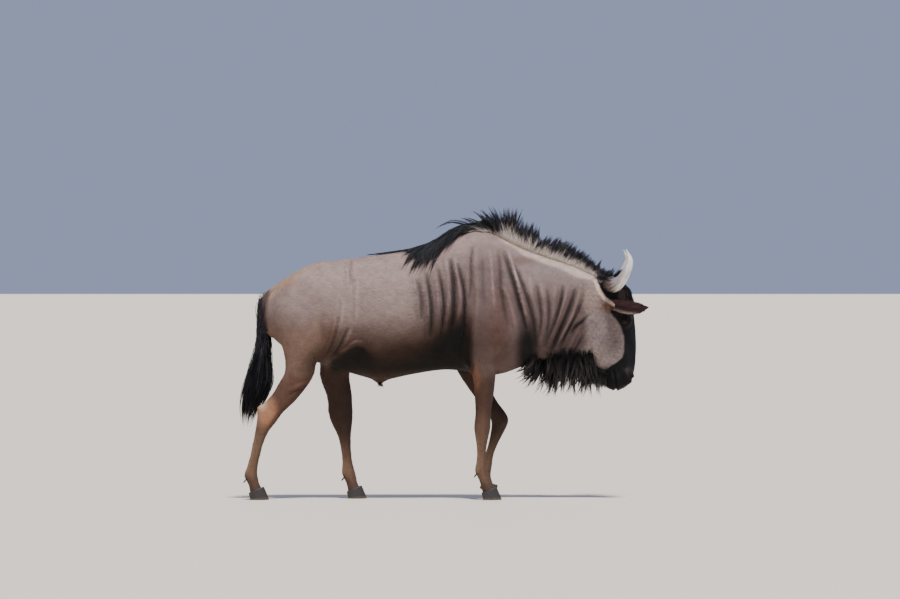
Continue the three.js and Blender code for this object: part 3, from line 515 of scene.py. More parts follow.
def foot_frame(end, side):
    """Where a foot stands and how it is tipped on its toe: its origin and two unit vectors,
    along the sole and up from it."""
    x, off, pitch = FEET[end, side]
    lift = 49 * np.sin(pitch) - 3 if pitch > 0 else 0.0
    along = np.array([np.cos(pitch), 0, -np.sin(pitch)])
    up = np.array([np.sin(pitch), 0, np.cos(pitch)])
    return np.array([x, side * off, lift]), along, up


def cut_at_coronets(points):
    """What reaches below the top edge of a hoof is drawn up to the plane of that edge."""
    for end, side in FEET:
        place, along, up = foot_frame(end, side)
        normal = -np.sin(CORONET_SLOPE) * along + np.cos(CORONET_SLOPE) * up
        top = place - 0.36 * 52 * along + 50 * up
        low = (points - top) @ normal
        near = np.linalg.norm(points - place, axis=1) < 150
        points = points - np.where(near & (low < 0), low * 0.96, 0)[:, None] * normal
    return points


skin_normals = normals_now(fused, skin_points)
skin_points = skin_points + relief_at(skin_points, skin_normals)[:, None] * skin_normals
skin_points = relaxed(skin_points, 0.25, 2)
skin_normals = normals_now(fused, skin_points)
hole, wing, mouth, lips = muzzle_cuts(skin_points)
cuts = 5 * wing + 3.5 * lips - 15 * hole - 6 * mouth
skin_points = skin_points + cuts[:, None] * skin_normals
skin_points = cut_at_coronets(relaxed(skin_points, 0.2, 1))
skin_normals = normals_now(fused, skin_points)


def tone(red, green, blue):
    """A colour as the eye sees it, from 0 to 255, made linear."""
    c = np.array([red, green, blue]) / 255
    return np.where(c > 0.04045, ((c + 0.055) / 1.055) ** 2.4, c / 12.92)


# Lines of the markings in pixels of the photograph. Ahead of BLACK_EDGE the head is black. The underside is
# dark from UNDER_EDGE down, partly with painted shade, ELBOW_EDGE is the rear of the upper arm, with painted
# shade behind it, CREST_LINE the root of the mane and RUMP_LINE the back over the hips.
BLACK_EDGE = [
    (598, 270), (598, 279), (597.5, 285), (599, 291), (604, 298), (609, 303), (610, 312),
    (613, 316), (616.5, 320), (619.5, 325), (622, 330), (624, 336), (624, 352), (622, 358),
    (617, 362), (610, 366), (605, 371), (601, 378), (596, 392),
]
UNDER_EDGE = [
    (300, 366), (340, 356), (366, 351), (380, 356), (400, 351), (420, 346), (435, 339),
    (450, 331), (464, 322),
]
ELBOW_EDGE = [(466.5, 316), (463.5, 335), (461, 345), (459.5, 360), (457, 373)]
CREST_LINE = [
    (485, 233), (490, 237), (505, 243), (525, 256), (540, 262), (560, 269), (580, 278), (597, 284),
]
RUMP_LINE = [(262, 300), (270, 290), (285, 279), (300, 268), (320, 262), (345, 259), (400, 251)]
# The front of the thigh and the top of the hollow before it, which is filled with painted shade, the painted
# shadow beside the tail, and the pale stripe from the horn to the ear.
THIGH_FRONT = [(345, 300), (341, 320), (333, 345), (326, 362)]
FLANK_HOLLOW = [
    (330, 362), (341, 356), (346, 351.5), (351, 347.5), (358, 344), (366, 346), (374, 356),
]
TAIL_SHADOW = [(276, 286), (270, 292), (267, 301), (266, 315), (267, 330)]
EAR_STRIPE = [(595, 281), (600, 292), (606, 299.5), (613, 304), (619, 309), (624, 315)]


# Soft patches of ribs and shoulder and of the cheek, one over the other: a colour, how much of
# it, and in pixels the middle, the reach across and down, and the softness of the edge.
SHOULDER_PATCHES = [
    ((70, 55, 52), 0.6, (442, 308, 25, 46, 0.6)), ((64, 50, 48), 0.6, (449, 326, 17, 22, 0.6)),
    ((90, 73, 70), 0.85, (484, 300, 34, 50, 0.45)), ((76, 58, 53), 0.75, (488, 340, 27, 26, 0.5)),
    ((86, 60, 50), 0.5, (502, 322, 13, 32, 0.6)),
]
CHEEK_PATCHES = [
    ((150, 134, 130), 0.6, (594, 356, 13, 12, 0.6)), ((98, 86, 84), 0.5, (610, 342, 9, 12, 0.7)),
    ((150, 128, 120), 0.5, (592, 298, 9, 14, 0.6)),
]


def down_at(line, u):
    """How far down a line lies at each place across."""
    return np.interp(u, *np.array(line, float).T)


def across_at(line, v):
    """How far across a line lies at each place down."""
    return np.interp(v, *np.array(line, float)[:, ::-1].T)


def patch(u, v, middle_u, middle_v, across, down, soft):
    """An ellipse in the side view, 1 inside it and fading to 0 at its edge."""
    r = np.hypot((u - middle_u) / across, (v - middle_v) / down)
    return 1 - step(1 - soft, 1 + soft, r)


def noise(points, size, seed):
    """Cloudy noise from -1 to 1: the sum of twelve plane waves of random way and length."""
    draw = np.random.default_rng(seed)
    total = np.zeros(len(points))
    for _ in range(12):
        way = draw.normal(size=3)
        way *= draw.uniform(0.5, 1.8) / np.linalg.norm(way) * 2 * np.pi / size
        total += np.sin(points @ way + draw.uniform(0, 2 * np.pi))
    return np.clip(total / 4, -1, 1)


def markings(points, normals):
    """The colours of skin and coat, with painted light and painted shade among them: each layer is a colour
    and a mask, laid over the last.
    """
    x, y, z = points.T
    u, v = seen_at(x, z)
    w = 2.4 * noise(points, 90, 3)
    colour = np.tile(tone(126, 108, 102), (len(x), 1))

    def lay(shade, mask):
        nonlocal colour
        mask = np.clip(mask, 0, 1)[:, None]
        colour = colour * (1 - mask) + tone(*shade) * mask

    # trunk and shoulder: darker below, partly the coat's own darker underparts and partly painted shade
    trunk = 1 - step(535, 570, u)
    lay((144, 123, 116), trunk * (1 - step(272, 318, v + w)))
    lay((84, 66, 59), 0.9 * trunk * step(306, 346, v + w))
    for shade, amount, place in SHOULDER_PATCHES:
        lay(shade, amount * patch(u, v, *place))
    # neck: darker below, partly its own darker hair and partly painted shade
    lay((126, 109, 105), step(498, 520, u) * (1 - step(276, 300, v + w)))
    lay((92, 76, 73), step(498, 520, u) * step(272, 304, v + w))
    lay((74, 60, 58), 0.9 * step(505, 530, u) * step(304, 346, v + w))
    below = v - down_at(CREST_LINE, u) + 0.3 * w
    crest_band = step(492, 506, u) * (1 - step(590, 600, u))
    lay((190, 168, 154), 0.85 * crest_band * (1 - step(-3.0, 1.2, below)))
    lay((92, 66, 54), 0.5 * patch(u, v, 521, 260, 12, 4, 0.6))
    # the hindquarter
    front_of_thigh = across_at(THIGH_FRONT, v)
    rear = 1 - step(front_of_thigh - 5, front_of_thigh + 4, u + 0.6 * w)
    lay((118, 93, 80), 0.95 * rear * step(306, 346, v + 1.5 * w))
    lay((88, 62, 52), 0.85 * rear * step(364, 384, v + w))
    from_back = v - down_at(RUMP_LINE, u)
    over_hips = (1 - step(3, 13, from_back + w)) * (1 - step(308, 334, u))
    lay((166, 136, 114), 0.75 * over_hips)
    lay((128, 88, 66), 0.4 * patch(u, v, 289, 284, 9, 5, 0.8))
    # painted shadow in the gap between the tail and the rump
    beside_tail, _ = gap_to(TAIL_SHADOW, u, v)
    sideways = step(0.35, 0.75, np.abs(normals[:, 1]))
    lay((30, 25, 29), 0.8 * sideways * (1 - step(0.8, 2.8, beside_tail)))
    dock = (1 - step(-905, -880, x)) * (1 - step(30, 44, np.abs(y))) * step(900, 960, z)
    lay((62, 50, 48), 0.8 * dock)
    lay((70, 49, 40), 0.7 * patch(u, v, 331, 352, 14, 22, 0.7) * rear)
    lay((44, 29, 23), 0.9 * patch(u, v, 330, 366, 26, 17, 0.7) * rear)
    # the dark underside, its own dark hair made darker by painted shade, and painted shade in the hollows
    under = v - down_at(UNDER_EDGE, u) + 0.7 * w
    belly = trunk * step(322, 340, u) * (1 - step(468, 476, u))
    lay((58, 40, 31), 0.75 * belly * step(-34, 0, under))
    lay((34, 20, 13), 0.95 * belly * step(-15, 6, under))
    lay((12, 6, 4), belly * step(2, 18, under))
    # painted shade in the hollow of the flank before the thigh
    flank = down_at(FLANK_HOLLOW, u)
    flank_hollow_shade = step(flank - 0.5, flank + 3, v) * step(326, 336, u)
    flank_hollow_shade = flank_hollow_shade * (1 - step(360, 392, u + 0.6 * w))
    lay((13, 8, 7), flank_hollow_shade * (1 - step(374, 384, v)))
    # painted shade behind the upper arm, in the armpit
    edge = across_at(ELBOW_EDGE, v)
    behind = (1 - step(edge - 1.2, edge + 1.2, u)) * step(408, 446, u + w)
    lay((10, 8, 8), behind * step(-15, 9, under + w) * (1 - step(376, 384, v)))
    # painted shade in the hollow between the front of the arm and the neck
    lay((10, 8, 8), 0.97 * patch(u, v, 527.5, 350, 9.5, 27, 0.6))
    # legs
    legs = step(366, 386, v) * (1 - step(540, 560, u))
    hind = 1 - step(361, 369, u)
    lay((70, 49, 40), legs * (1 - hind))
    lay((126, 84, 60), 0.6 * patch(u, v, 475, 377, 5, 12, 0.5))
    lay((86, 61, 50), legs * hind)
    lay((98, 75, 59), legs * step(402, 440, v + w))
    lay((158, 112, 84), 0.85 * hind * patch(u, v, 266, 410, 11, 15, 0.5))
    lay((206, 172, 142), 0.6 * hind * patch(u, v, 262, 402, 5, 8, 0.6))
    front = step(0.1, 0.6, normals[:, 0])
    lay((58, 44, 38), 0.7 * legs * front * (1 - step(410, 440, v)))
    lay((58, 44, 37), 0.75 * step(474, 487, v))
    lay((66, 50, 42), 0.5 * legs * front * step(400, 430, v))
    heel = step(0.2, 0.7, -normals[:, 0]) * step(424, 446, v) * (1 - step(470, 478, v))
    lay((140, 112, 90), 0.45 * legs * heel)
    # painted shade on the inner sides of the legs, the side of the far legs that is seen
    inside = step(0.1, 0.6, -np.sign(y) * normals[:, 1])
    lay((50, 37, 32), 0.85 * legs * inside * (1 - step(430, 470, v)))
    # the folds: grooves darkened, partly the coat's own dark stripes and partly painted shade, and ridges
    # lightened by painted light
    outer = step(0.15, 0.5, np.abs(normals[:, 1]))
    shade = fold_lines(*differing_side(points))[1] * behind_head(x, z) * outer
    colour *= np.exp(-1.75 * np.clip(shade, -0.4, 1.25))[:, None]
    # the head
    head = step(572, 588, u)
    lay((116, 103, 100), head * step(306, 316, v) * step(582, 590, u))
    for shade, amount, place in CHEEK_PATCHES:
        lay(shade, amount * patch(u, v, *place))
    throat = head * step(366, 374, v + 0.5 * w + 0.15 * np.abs(u - 597))
    lay((13, 11, 12), throat)
    edge = across_at(BLACK_EDGE, v)
    ahead = step(edge - 1.2, edge + 1.2, u + 0.25 * w) * step(590, 596, u)
    lay((8, 7, 9), ahead)
    gap, share = gap_to(EAR_STRIPE, u, v)
    stripe = (1 - step(1.0, 2.6, gap)) * (1 - step(0.7, 0.98, share))
    lay((200, 172, 156), 0.9 * stripe * head)
    lay((98, 66, 50), 0.8 * patch(u, v, 607, 307.5, 5, 3.2, 0.8) * head)
    # painted sheen, bluish grey, down the front of the black face
    lay((26, 26, 33), 0.6 * ahead * patch(u, v, 630, 348, 5, 17, 0.6))
    lay((44, 33, 32), 0.5 * patch(u, v, 630, 371, 4, 6, 0.6))
    # painted sheen, brown, on the forehead
    lay((46, 34, 30), 0.6 * patch(u, v, 625, 297, 8, 8, 0.9) * ahead)
    colour *= (1 + 0.3 * ahead * noise(points, 13, 14))[:, None]
    colour *= (1 + 0.22 * head * (1 - ahead) * noise(points, 16, 12))[:, None]
    mottle = 1
    for amount, size, seed in ((0.06, 70, 8), (0.07, 24, 9), (0.05, 13, 15)):
        mottle = mottle + amount * noise(points, size, seed)
    return np.clip(colour * mottle[:, None], 0.001, 1)


def colour_points(piece, colours, name="coat_colour"):
    """Colours kept on the points of a piece, as the attribute that its material reads."""
    layer = piece.data.attributes.new(name, "FLOAT_COLOR", "POINT")
    rgba = np.concatenate([colours, np.ones((len(colours), 1))], 1).astype(np.float32)
    layer.data.foreach_set("color", rgba.ravel())


skin = bpy.data.objects.new("skin", fused)
fused.name = "skin"
bpy.context.scene.collection.objects.link(skin)
colour_points(skin, markings(skin_points, skin_normals))
bpy.context.view_layer.objects.active = skin
skin.select_set(True)
bpy.ops.object.mode_set(mode="EDIT")
bpy.ops.mesh.select_all(action="SELECT")
bpy.ops.uv.smart_project(angle_limit=1.15, island_margin=0.004)
bpy.ops.object.mode_set(mode="OBJECT")
fused.uv_layers.active.name = "OFBake"
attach(skin, "root")
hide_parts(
    "torso", "neck", "head", "right_foreleg", "left_foreleg", "right_hindleg", "left_hindleg"
)


def feed(tree, node, inputs):
    """Each named input of a node is linked to an output, or set to a plain value."""
    for name, value in inputs.items():
        if isinstance(value, bpy.types.NodeSocket):
            tree.links.new(value, node.inputs[name])
        else:
            node.inputs[name].default_value = value


def add_node(tree, kind, inputs, operation=None):
    """A new shader node with its operation set and its inputs fed."""
    node = tree.nodes.new("ShaderNode" + kind)
    if operation:
        node.operation = operation
    feed(tree, node, inputs)
    return node


def grain_group(name, extra, extra_kind, extra_value):
    """A node group that takes a place and one more value, and gives a height from 0 to 1 and a
    tint about 1. Returns it with its inside's sources and its inside's end."""
    group = bpy.data.node_groups.new(name, "ShaderNodeTree")
    group.interface.new_socket("Place", in_out="INPUT", socket_type="NodeSocketVector")
    more = group.interface.new_socket(extra, in_out="INPUT", socket_type=extra_kind)
    more.default_value = extra_value
    for given in ("Height", "Tint"):
        group.interface.new_socket(given, in_out="OUTPUT", socket_type="NodeSocketFloat")
    enter, leave = group.nodes.new("NodeGroupInput"), group.nodes.new("NodeGroupOutput")
    return group, enter.outputs, leave


# Noise is drawn out along the hair by scaling places less that way: backwards on the trunk, and
# downwards on the legs below 0.78 m and on the neck and head ahead of 0.1 m.
DRAWN_BACK, DRAWN_DOWN = (28, 330, 330), (330, 330, 30)
LOW, AHEAD = (0.78, 0.62), (0.1, 0.4)


def hair_grain_group():
    """Fine hair as noise drawn out along the lie, at a fineness."""
    group, given, leave = grain_group("hair_grain", "Fineness", "NodeSocketFloat", 1.0)
    heights = []
    for drawn in (DRAWN_BACK, DRAWN_DOWN):
        scaled = add_node(group, "VectorMath", {0: given["Place"], 1: drawn}, "MULTIPLY")
        finer = {0: scaled.outputs[0], "Scale": given["Fineness"]}
        fine = add_node(group, "VectorMath", finer, "SCALE")
        streaks = {"Vector": fine.outputs[0], "Scale": 1.0, "Detail": 4.0, "Roughness": 0.62}
        heights.append(add_node(group, "TexNoise", streaks).outputs["Fac"])
    along = add_node(group, "SeparateXYZ", {0: given["Place"]}).outputs
    hangs = [
        add_node(group, "MapRange", {"Value": along[axis], "From Min": start, "From Max": end})
        for axis, (start, end) in (("Z", LOW), ("X", AHEAD))
    ]
    either = add_node(group, "Math", dict(enumerate(n.outputs[0] for n in hangs)), "MAXIMUM")
    both = add_node(group, "Mix", {"Factor": either.outputs[0], 2: heights[0], 3: heights[1]})
    ends = {"From Min": 0.3, "From Max": 0.7, "To Min": 0.84, "To Max": 1.13}
    tint = add_node(group, "MapRange", {"Value": both.outputs[0], **ends})
    feed(group, leave, {"Height": both.outputs[0], "Tint": tint.outputs["Result"]})
    return group


def grained(name, attribute, group, values, strength, depth, finish):
    """A material whose colour is the piece's own point colours times the grain's tint, with
    the grain's height as bump."""
    material = bpy.data.materials.new(name)
    material.use_nodes = True
    tree = material.node_tree
    place = add_node(tree, "TexCoord", {})
    colour = add_node(tree, "Attribute", {})
    colour.attribute_name = attribute
    grain = tree.nodes.new("ShaderNodeGroup")
    grain.node_tree = group
    feed(tree, grain, {"Place": place.outputs["Object"], **values})
    tinted = {0: colour.outputs["Color"], "Scale": grain.outputs["Tint"]}
    times = add_node(tree, "VectorMath", tinted, "SCALE")
    raised = {"Strength": strength, "Distance": depth, "Height": grain.outputs["Height"]}
    bump = add_node(tree, "Bump", raised)
    sources = {"Base Color": times.outputs[0], "Normal": bump.outputs["Normal"]}
    feed(tree, tree.nodes["Principled BSDF"], {**sources, **finish})
    return material


hair_grain = hair_grain_group()
SHORT_FINISH = {
    "Roughness": 0.62, "Sheen Weight": 0.02, "Sheen Roughness": 0.5, "Specular IOR Level": 0.14,
}
short_coat = grained("short_coat", "coat_colour", hair_grain, {}, 0.7, 0.0012, SHORT_FINISH)
skin.data.materials.append(short_coat)

# Short coat
# The body's hair is short and lies flat, back along the trunk and down the legs, and up the
# face from the muzzle. Thin pointed tufts root in the skin and overlap like tiles.


def skin_roots(density, seed):
    """Places drawn at random over the skin's triangles, each triangle as often as its area
    times the density there in tufts for each square millimetre, with normal and bake place."""
    draw = np.random.default_rng(seed)
    fused.calc_loop_triangles()
    corners = read(fused, "loop_triangles", "vertices", 3, np.int32)
    loops = read(fused, "loop_triangles", "loops", 3, np.int32)
    uv = read(fused.uv_layers["OFBake"], "data", "uv", 2)
    a, b, c = (skin_points[corners[:, k]] for k in range(3))
    area = np.linalg.norm(np.cross(b - a, c - a), axis=1) / 2
    share = area * density((a + b + c) / 3)
    count = int(share.sum())
    pick = np.searchsorted(np.cumsum(share) / share.sum(), draw.random(count))
    r, s = np.sqrt(draw.random(count)), draw.random(count)
    weights = np.stack([1 - r, r * (1 - s), r * s], -1)[..., None]
    at = (skin_points[corners[pick]] * weights).sum(1)
    normal = (skin_normals[corners[pick]] * weights).sum(1)
    normal /= np.linalg.norm(normal, axis=1, keepdims=True)
    return at, normal, (uv[loops[pick]] * weights).sum(1)


def unit(v):
    """Vectors divided by their lengths."""
    return v / (np.linalg.norm(v, axis=-1, keepdims=True) + 1e-9)


def lie_of_coat(points, normals):
    """The way the hair lies: a sum of the ways of trunk, neck, cheek, face and leg, each with
    its mask, turned into the plane of the skin."""
    x, _, z = points.T
    legs = (1 - step(560, 760, z)) * (1 - step(560, 640, x))
    shoulder, neck = 0.8 * step(-200, 60, x), step(250, 480, x)
    face = step(880, 940, x + 0.1 * (z - 850))
    way = np.tile([-1.0, 0.0, -0.3], (len(x), 1))
    ways = (
        (shoulder, (-0.45, 0, -0.9)), (neck, (-0.5, 0, -0.86)), (legs, (-0.16, 0, -1.0)),
        (face, (-0.3, 0, 1.0)),
    )
    for mask, towards in ways:
        way = way * (1 - mask[:, None]) + np.array(towards) * mask[:, None]
    way = way - (way * normals).sum(-1, keepdims=True) * normals
    return unit(way)


def strands(name, rings, half_width, half_thick, facing, colours, uv, material):
    """Closed three-sided tapering tubes. Rings are places (count, steps, 3) from root to just
    short of the tip, whose last place is the tip itself. At each ring two corners lie across
    the way it faces and one stands up between them."""
    count, steps = rings.shape[:2]
    body, tip = rings[:, :-1], rings[:, -1]
    tangent = unit(np.diff(rings, axis=1))
    across = unit(np.cross(tangent, facing[:, None]))
    up = np.cross(across, tangent)
    w, h = half_width[..., None], half_thick[..., None]
    ring = np.stack([body + across * w, body - across * w, body + up * h * 1.4], 2)
    points = np.concatenate([ring.reshape(count, -1, 3), tip[:, None]], 1)
    faces = []
    for i in range(steps - 2):
        for j in range(3):
            a, b = 3 * i + j, 3 * i + (j + 1) % 3
            faces += [(a, b, b + 3), (a, b + 3, a + 3)]
    last, end = 3 * (steps - 2), 3 * (steps - 1)
    faces += [(last, last + 1, end), (last + 1, last + 2, end), (last + 2, last, end), (0, 2, 1)]
    faces = np.array(faces)
    each = points.shape[1]
    all_faces = (faces + each * np.arange(count)[:, None, None]).reshape(-1, 3)
    piece = put(name, points.reshape(-1, 3), all_faces)
    share = np.repeat(np.linspace(0, 1, steps)[:-1], 3)
    share = np.append(share, 1.0)
    sideways = np.append(np.tile([1.0, -1.0, 0.0], steps - 1), 0.0)
    patch_uv = np.stack([sideways * 0.0012, (share - 0.5) * 0.0028], -1)
    where = (uv[:, None] + patch_uv).reshape(-1, 2)
    layer = piece.data.uv_layers.new(name="OFBake")
    layer.data.foreach_set("uv", where[all_faces.ravel()].astype(np.float32).ravel())
    tints = colours(share)
    colour_points(piece, tints.reshape(-1, 3))
    piece.data.materials.append(material)
    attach(piece, "root")
    return piece


def short_tufts(name, density, seed, lift=0.045):
    """One tuft at each root: a flat point of the coat's own colour there, a little darker at
    the root and paler at the tip, a little turned and lifted at random. Its normals are the
    skin's, leant a fifth of the way to its own sides, so that it is shaded as part of the coat."""
    draw = np.random.default_rng(seed)
    at, normal, uv = skin_roots(density, seed)
    lie = lie_of_coat(at, normal)
    turn = draw.normal(0, 0.1, (len(at), 1))
    lie = unit(lie + turn * np.cross(normal, lie))
    long, broad = coat_size(at)
    long = long * draw.uniform(0.7, 1.25, len(at))
    raised = np.abs(draw.normal(lift, 0.025, len(at)))[:, None]
    root = at - 0.25 * normal
    tip = at + long[:, None] * (lie + raised * normal)
    rings = np.stack([root, tip], 1)
    base = markings(at, normal) * draw.uniform(0.9, 1.1, (len(at), 1))

    def colours(share):
        return base[:, None] * (0.92 + 0.15 * share)[None, :, None]

    width = (broad / 2)[:, None]
    piece = strands(name, rings, width, width * 0.25, normal, colours, uv, short_coat)
    across = unit(np.cross(lie, normal))
    sideways = np.array([1.0, -1.0, 0.0, 0.0])[:, None]
    leant = unit(normal[:, None] + 0.22 * across[:, None] * sideways)
    shading = piece.data.attributes.new("custom_normal", "FLOAT_VECTOR", "POINT")
    shading.data.foreach_set("vector", leant.astype(np.float32).ravel())
    return piece


def head_share(points):
    """1 on the head, fading to 0 behind the jaw."""
    x, _, z = points.T
    return step(720, 800, x + 0.2 * (z - 900))


def body_share(points):
    """1 on trunk and neck, fading out into head and legs."""
    return step(600, 720, points[:, 2]) * (1 - head_share(points))


def leg_share(points):
    """1 on the legs down to the coronets."""
    return (1 - body_share(points)) * (1 - head_share(points)) * step(75, 95, points[:, 2])


def coat_size(points):
    """Length and breadth of the tufts, smaller on head and feet, smallest on the muzzle."""
    x, _, z = points.T
    head, low = head_share(points), 1 - step(300, 650, z)
    muzzle = step(900, 990, x) * (1 - step(650, 800, z))
    small = np.maximum(head * 0.45, low * 0.4)
    long = 15 * (1 - small) * (1 - 0.4 * muzzle)
    return long, 3.6 * (1 - 0.8 * small)


# Each piece of the coat: its seed, its tufts to a square millimetre, and where it grows.
COATS = {
    "coat_fore": (1, 0.038, lambda p: body_share(p) * step(-40, -20, p[:, 0])),
    "coat_hind": (2, 0.036, lambda p: body_share(p) * (1 - step(-20, 0, p[:, 0]))),
    "coat_legs": (3, 0.042, leg_share),
    "coat_head": (4, 0.075, head_share),
}
for name, (seed, thick, where) in COATS.items():
    short_tufts(name, lambda p, thick=thick, where=where: thick * where(p), seed)

# Mane
# Coarse hair up to 300 mm long, pale at its roots and black above them. It stands along the
# crest of the neck, arches back over the withers, and hangs from the spine on both sides.

fine = np.linspace(0, 1, 500)
trunk_line = through(TRUNK, fine)


def crest(x):
    """The height of the back line at a length x."""
    return np.interp(x, trunk_line[:, 0], trunk_line[:, 1])


def on_trunk(x, angle):
    """The trunk's surface at a length x, by the share of its loft at which it passes there."""
    return trunk_surface(np.interp(x, trunk_line[:, 0], fine), angle)


def trunk_out(x, angle):
    """The trunk's outward normal: across the ways along it and round it."""
    along = on_trunk(x + 5, angle) - on_trunk(x - 5, angle)
    around = on_trunk(x, angle + 0.02) - on_trunk(x, angle - 0.02)
    return unit(np.cross(around, along))


skin_tree = KDTree(len(skin_points))
for number, place in enumerate(skin_points.tolist()):
    skin_tree.insert(place, number)
skin_tree.balance()
vertex_uv = np.zeros((len(skin_points), 2))
corner_of = read(fused, "loops", "vertex_index", 1, np.int32)
vertex_uv[corner_of] = read(fused.uv_layers["OFBake"], "data", "uv", 2)


def bake_place(roots, every=8):
    """Each root's place on the skin's unwrap, found for one root in eight and shared by those
    next to it in the list, which grow beside it."""
    found = np.array([skin_tree.find(p)[1] for p in roots[::every].tolist()])
    return vertex_uv[found][np.arange(len(roots)) // every]


HAIR_BLACK = tone(7, 7, 10)
HAIR_GREY = tone(104, 102, 110)
HAIR_PALE = tone(236, 220, 208)


def long_hair(name, clumps, each, path, size, steps, seed, colour, facing, loose, closing):
    """Clumps of strands. Each clump follows its own path, and its strands start loose about it
    and close in on it towards the tip. Path gives (clump, steps, 3) for shares from 0 to 1."""
    draw = np.random.default_rng(seed)
    s = np.linspace(0, 1, steps)
    centre = path(s)
    count = clumps * each
    rings = np.repeat(centre, each, 0)
    root = rings[:, 0]
    rings = shortened(rings, draw.uniform(0.72, 1.0, count))
    away = draw.normal(0, 1, (count, 1, 3)) * np.array(loose)
    wave = 0.35 * draw.normal(0, 1, (count, 1, 3)) * np.array(loose)
    shrink = (1 - closing * s**1.2)[None, :, None]
    rings = rings + away * shrink + wave * np.sin(np.pi * s)[None, :, None]
    taper = (0.55 + 0.9 * s - 1.25 * s**2)[:-1]
    width = size * draw.uniform(0.6, 1.3, (count, 1)) * taper
    face = np.array(facing, float) + 0.35 * draw.normal(0, 1, (count, 3))
    clump = np.repeat(np.arange(clumps), each)

    def colours(share):
        return colour(rings, share, clump, draw)

    return strands(
        name, rings, width / 2, width / 3.2, face, colours, bake_place(root), long_coat
    )


def shortened(rings, cut):
    """Each path again, but only up to the share of it that its strand reaches."""
    steps = rings.shape[1]
    at = np.linspace(0, 1, steps)[None, :] * cut[:, None] * (steps - 1)
    i = np.minimum(at.astype(int), steps - 2)
    f = (at - i)[..., None]
    rows = np.arange(len(rings))[:, None]
    return rings[rows, i] * (1 - f) + rings[rows, i + 1] * f


LONG_FINISH = {"Roughness": 0.45, "Specular IOR Level": 0.2}
long_coat = grained(
    "long_hair", "coat_colour", hair_grain, {"Fineness": 1.6}, 0.7, 0.0006, LONG_FINISH
)


def mane_colour(pale_to):
    """Pale at the root up to a share of its length, then black, with some hairs greyer, partly grey hair and
    partly painted highlight.
    """

    def colours(rings, share, clump, draw):
        count = len(rings)
        pale = pale_to(rings[:, 0])[:, None] * draw.uniform(0.6, 1.3, (count, 1))
        dark = step(pale, pale + 0.2, share[None, :])[..., None]
        # the greyer hairs: partly grey hair, partly painted highlight
        grey = (draw.random(count) ** 3.2)[:, None, None] * 0.5
        black = HAIR_BLACK * (1 - grey) + HAIR_GREY * grey
        return HAIR_PALE * draw.uniform(0.75, 1.1, (count, 1, 1)) * (1 - dark) + black * dark

    return colours


# Height of the mane's edge in the side view, over the length x of the crest.
MANE_EDGE = [
    (140, 1440), (230, 1470), (290, 1506), (380, 1494), (412, 1440), (436, 1432), (470, 1428),
    (510, 1378), (562, 1360), (624, 1344), (676, 1318), (718, 1294), (770, 1262), (837, 1208),
    (870, 1196),
]
# How far it leans from upright at each x, forwards above zero.
MANE_LEAN = [
    (240, -0.5), (300, -0.12), (360, 0.0), (440, 0.14), (540, 0.42), (700, 0.62), (850, 0.66),
]


def neck_mane(clumps, seed):
    """Locks that stand on the crest, lean as it says and reach up to the mane's edge."""
    draw = np.random.default_rng(seed)
    x = 262 + 600 * draw.random(clumps) ** 0.72
    side = draw.choice([-1.0, 1.0], clumps)
    lean = np.interp(x, *np.array(MANE_LEAN).T) + draw.normal(0, 0.13, clumps)
    tip_x = x + 90 * np.sin(lean)
    edge = np.interp(tip_x, *np.array(MANE_EDGE, float).T)
    tall = (edge - crest(x)).clip(40, 170) * (1.24 - 0.55 * draw.random(clumps) ** 1.3)
    long = tall / np.cos(lean).clip(0.5, 1)

    def path(s):
        up = long[:, None] * s * np.cos(lean)[:, None]
        on = long[:, None] * s * np.sin(lean)[:, None]
        arch = np.where(x < 330, -0.0011, 0.0005)[:, None] * (long[:, None] * s) ** 2
        out = side[:, None] * (5 + 20 * s * draw.uniform(0.2, 1, clumps)[:, None])
        return np.stack([x[:, None] + on + arch, out, crest(x)[:, None] - 10 + (up + 6 * s)], -1)

    return path


all_black = mane_colour(lambda root: np.zeros(len(root)))


def pale_neck(root):
    """The pale share of a hair of the neck, fading out at the withers and behind the horns."""
    return 0.36 * step(280, 340, root[:, 0]) * (1 - step(800, 850, root[:, 0]))


long_hair(
    "mane_neck", 420, 15, neck_mane(420, 51), 2.5, 6, 52, mane_colour(pale_neck),
    (0, 1, 0), (9, 5, 3), 0.86,
)


def withers_arch(clumps, seed):
    """Locks that rise from the withers and arch back and down on to the spine."""
    draw = np.random.default_rng(seed)
    x = draw.uniform(90, 300, clumps)
    long = draw.uniform(150, 250, clumps)
    rise = np.interp(x, [90, 170, 230, 300], [0.1, 0.42, 0.85, 1.3]) + draw.normal(0, 0.1, clumps)
    side = draw.normal(0, 14, clumps)
    free = np.where((draw.random(clumps) < 0.3) & (x > 180), 60.0, 0.0)[:, None]

    def path(s):
        up = long[:, None] * (np.sin(rise)[:, None] * s - 0.32 * s**2)
        back = long[:, None] * (np.cos(rise)[:, None] * s + 0.12 * s**2)
        along = x[:, None] - back
        highest = np.interp(along, [-80, -10, 42, 146, 210, 280], [6, 22, 32, 30, 48, 110])
        ground = crest(along) - crest(x)[:, None]
        over = np.clip(up, ground + 6, ground + highest + free)
        high = crest(x)[:, None] - 8 + over + 6 * s
        return np.stack([along, side[:, None] * (0.4 + s), high], -1)

    return path


long_hair(
    "mane_withers", 66, 16, withers_arch(66, 61), 2.4, 7, 62, all_black,
    (0, 1, 0), (9, 7, 4), 0.86,
)


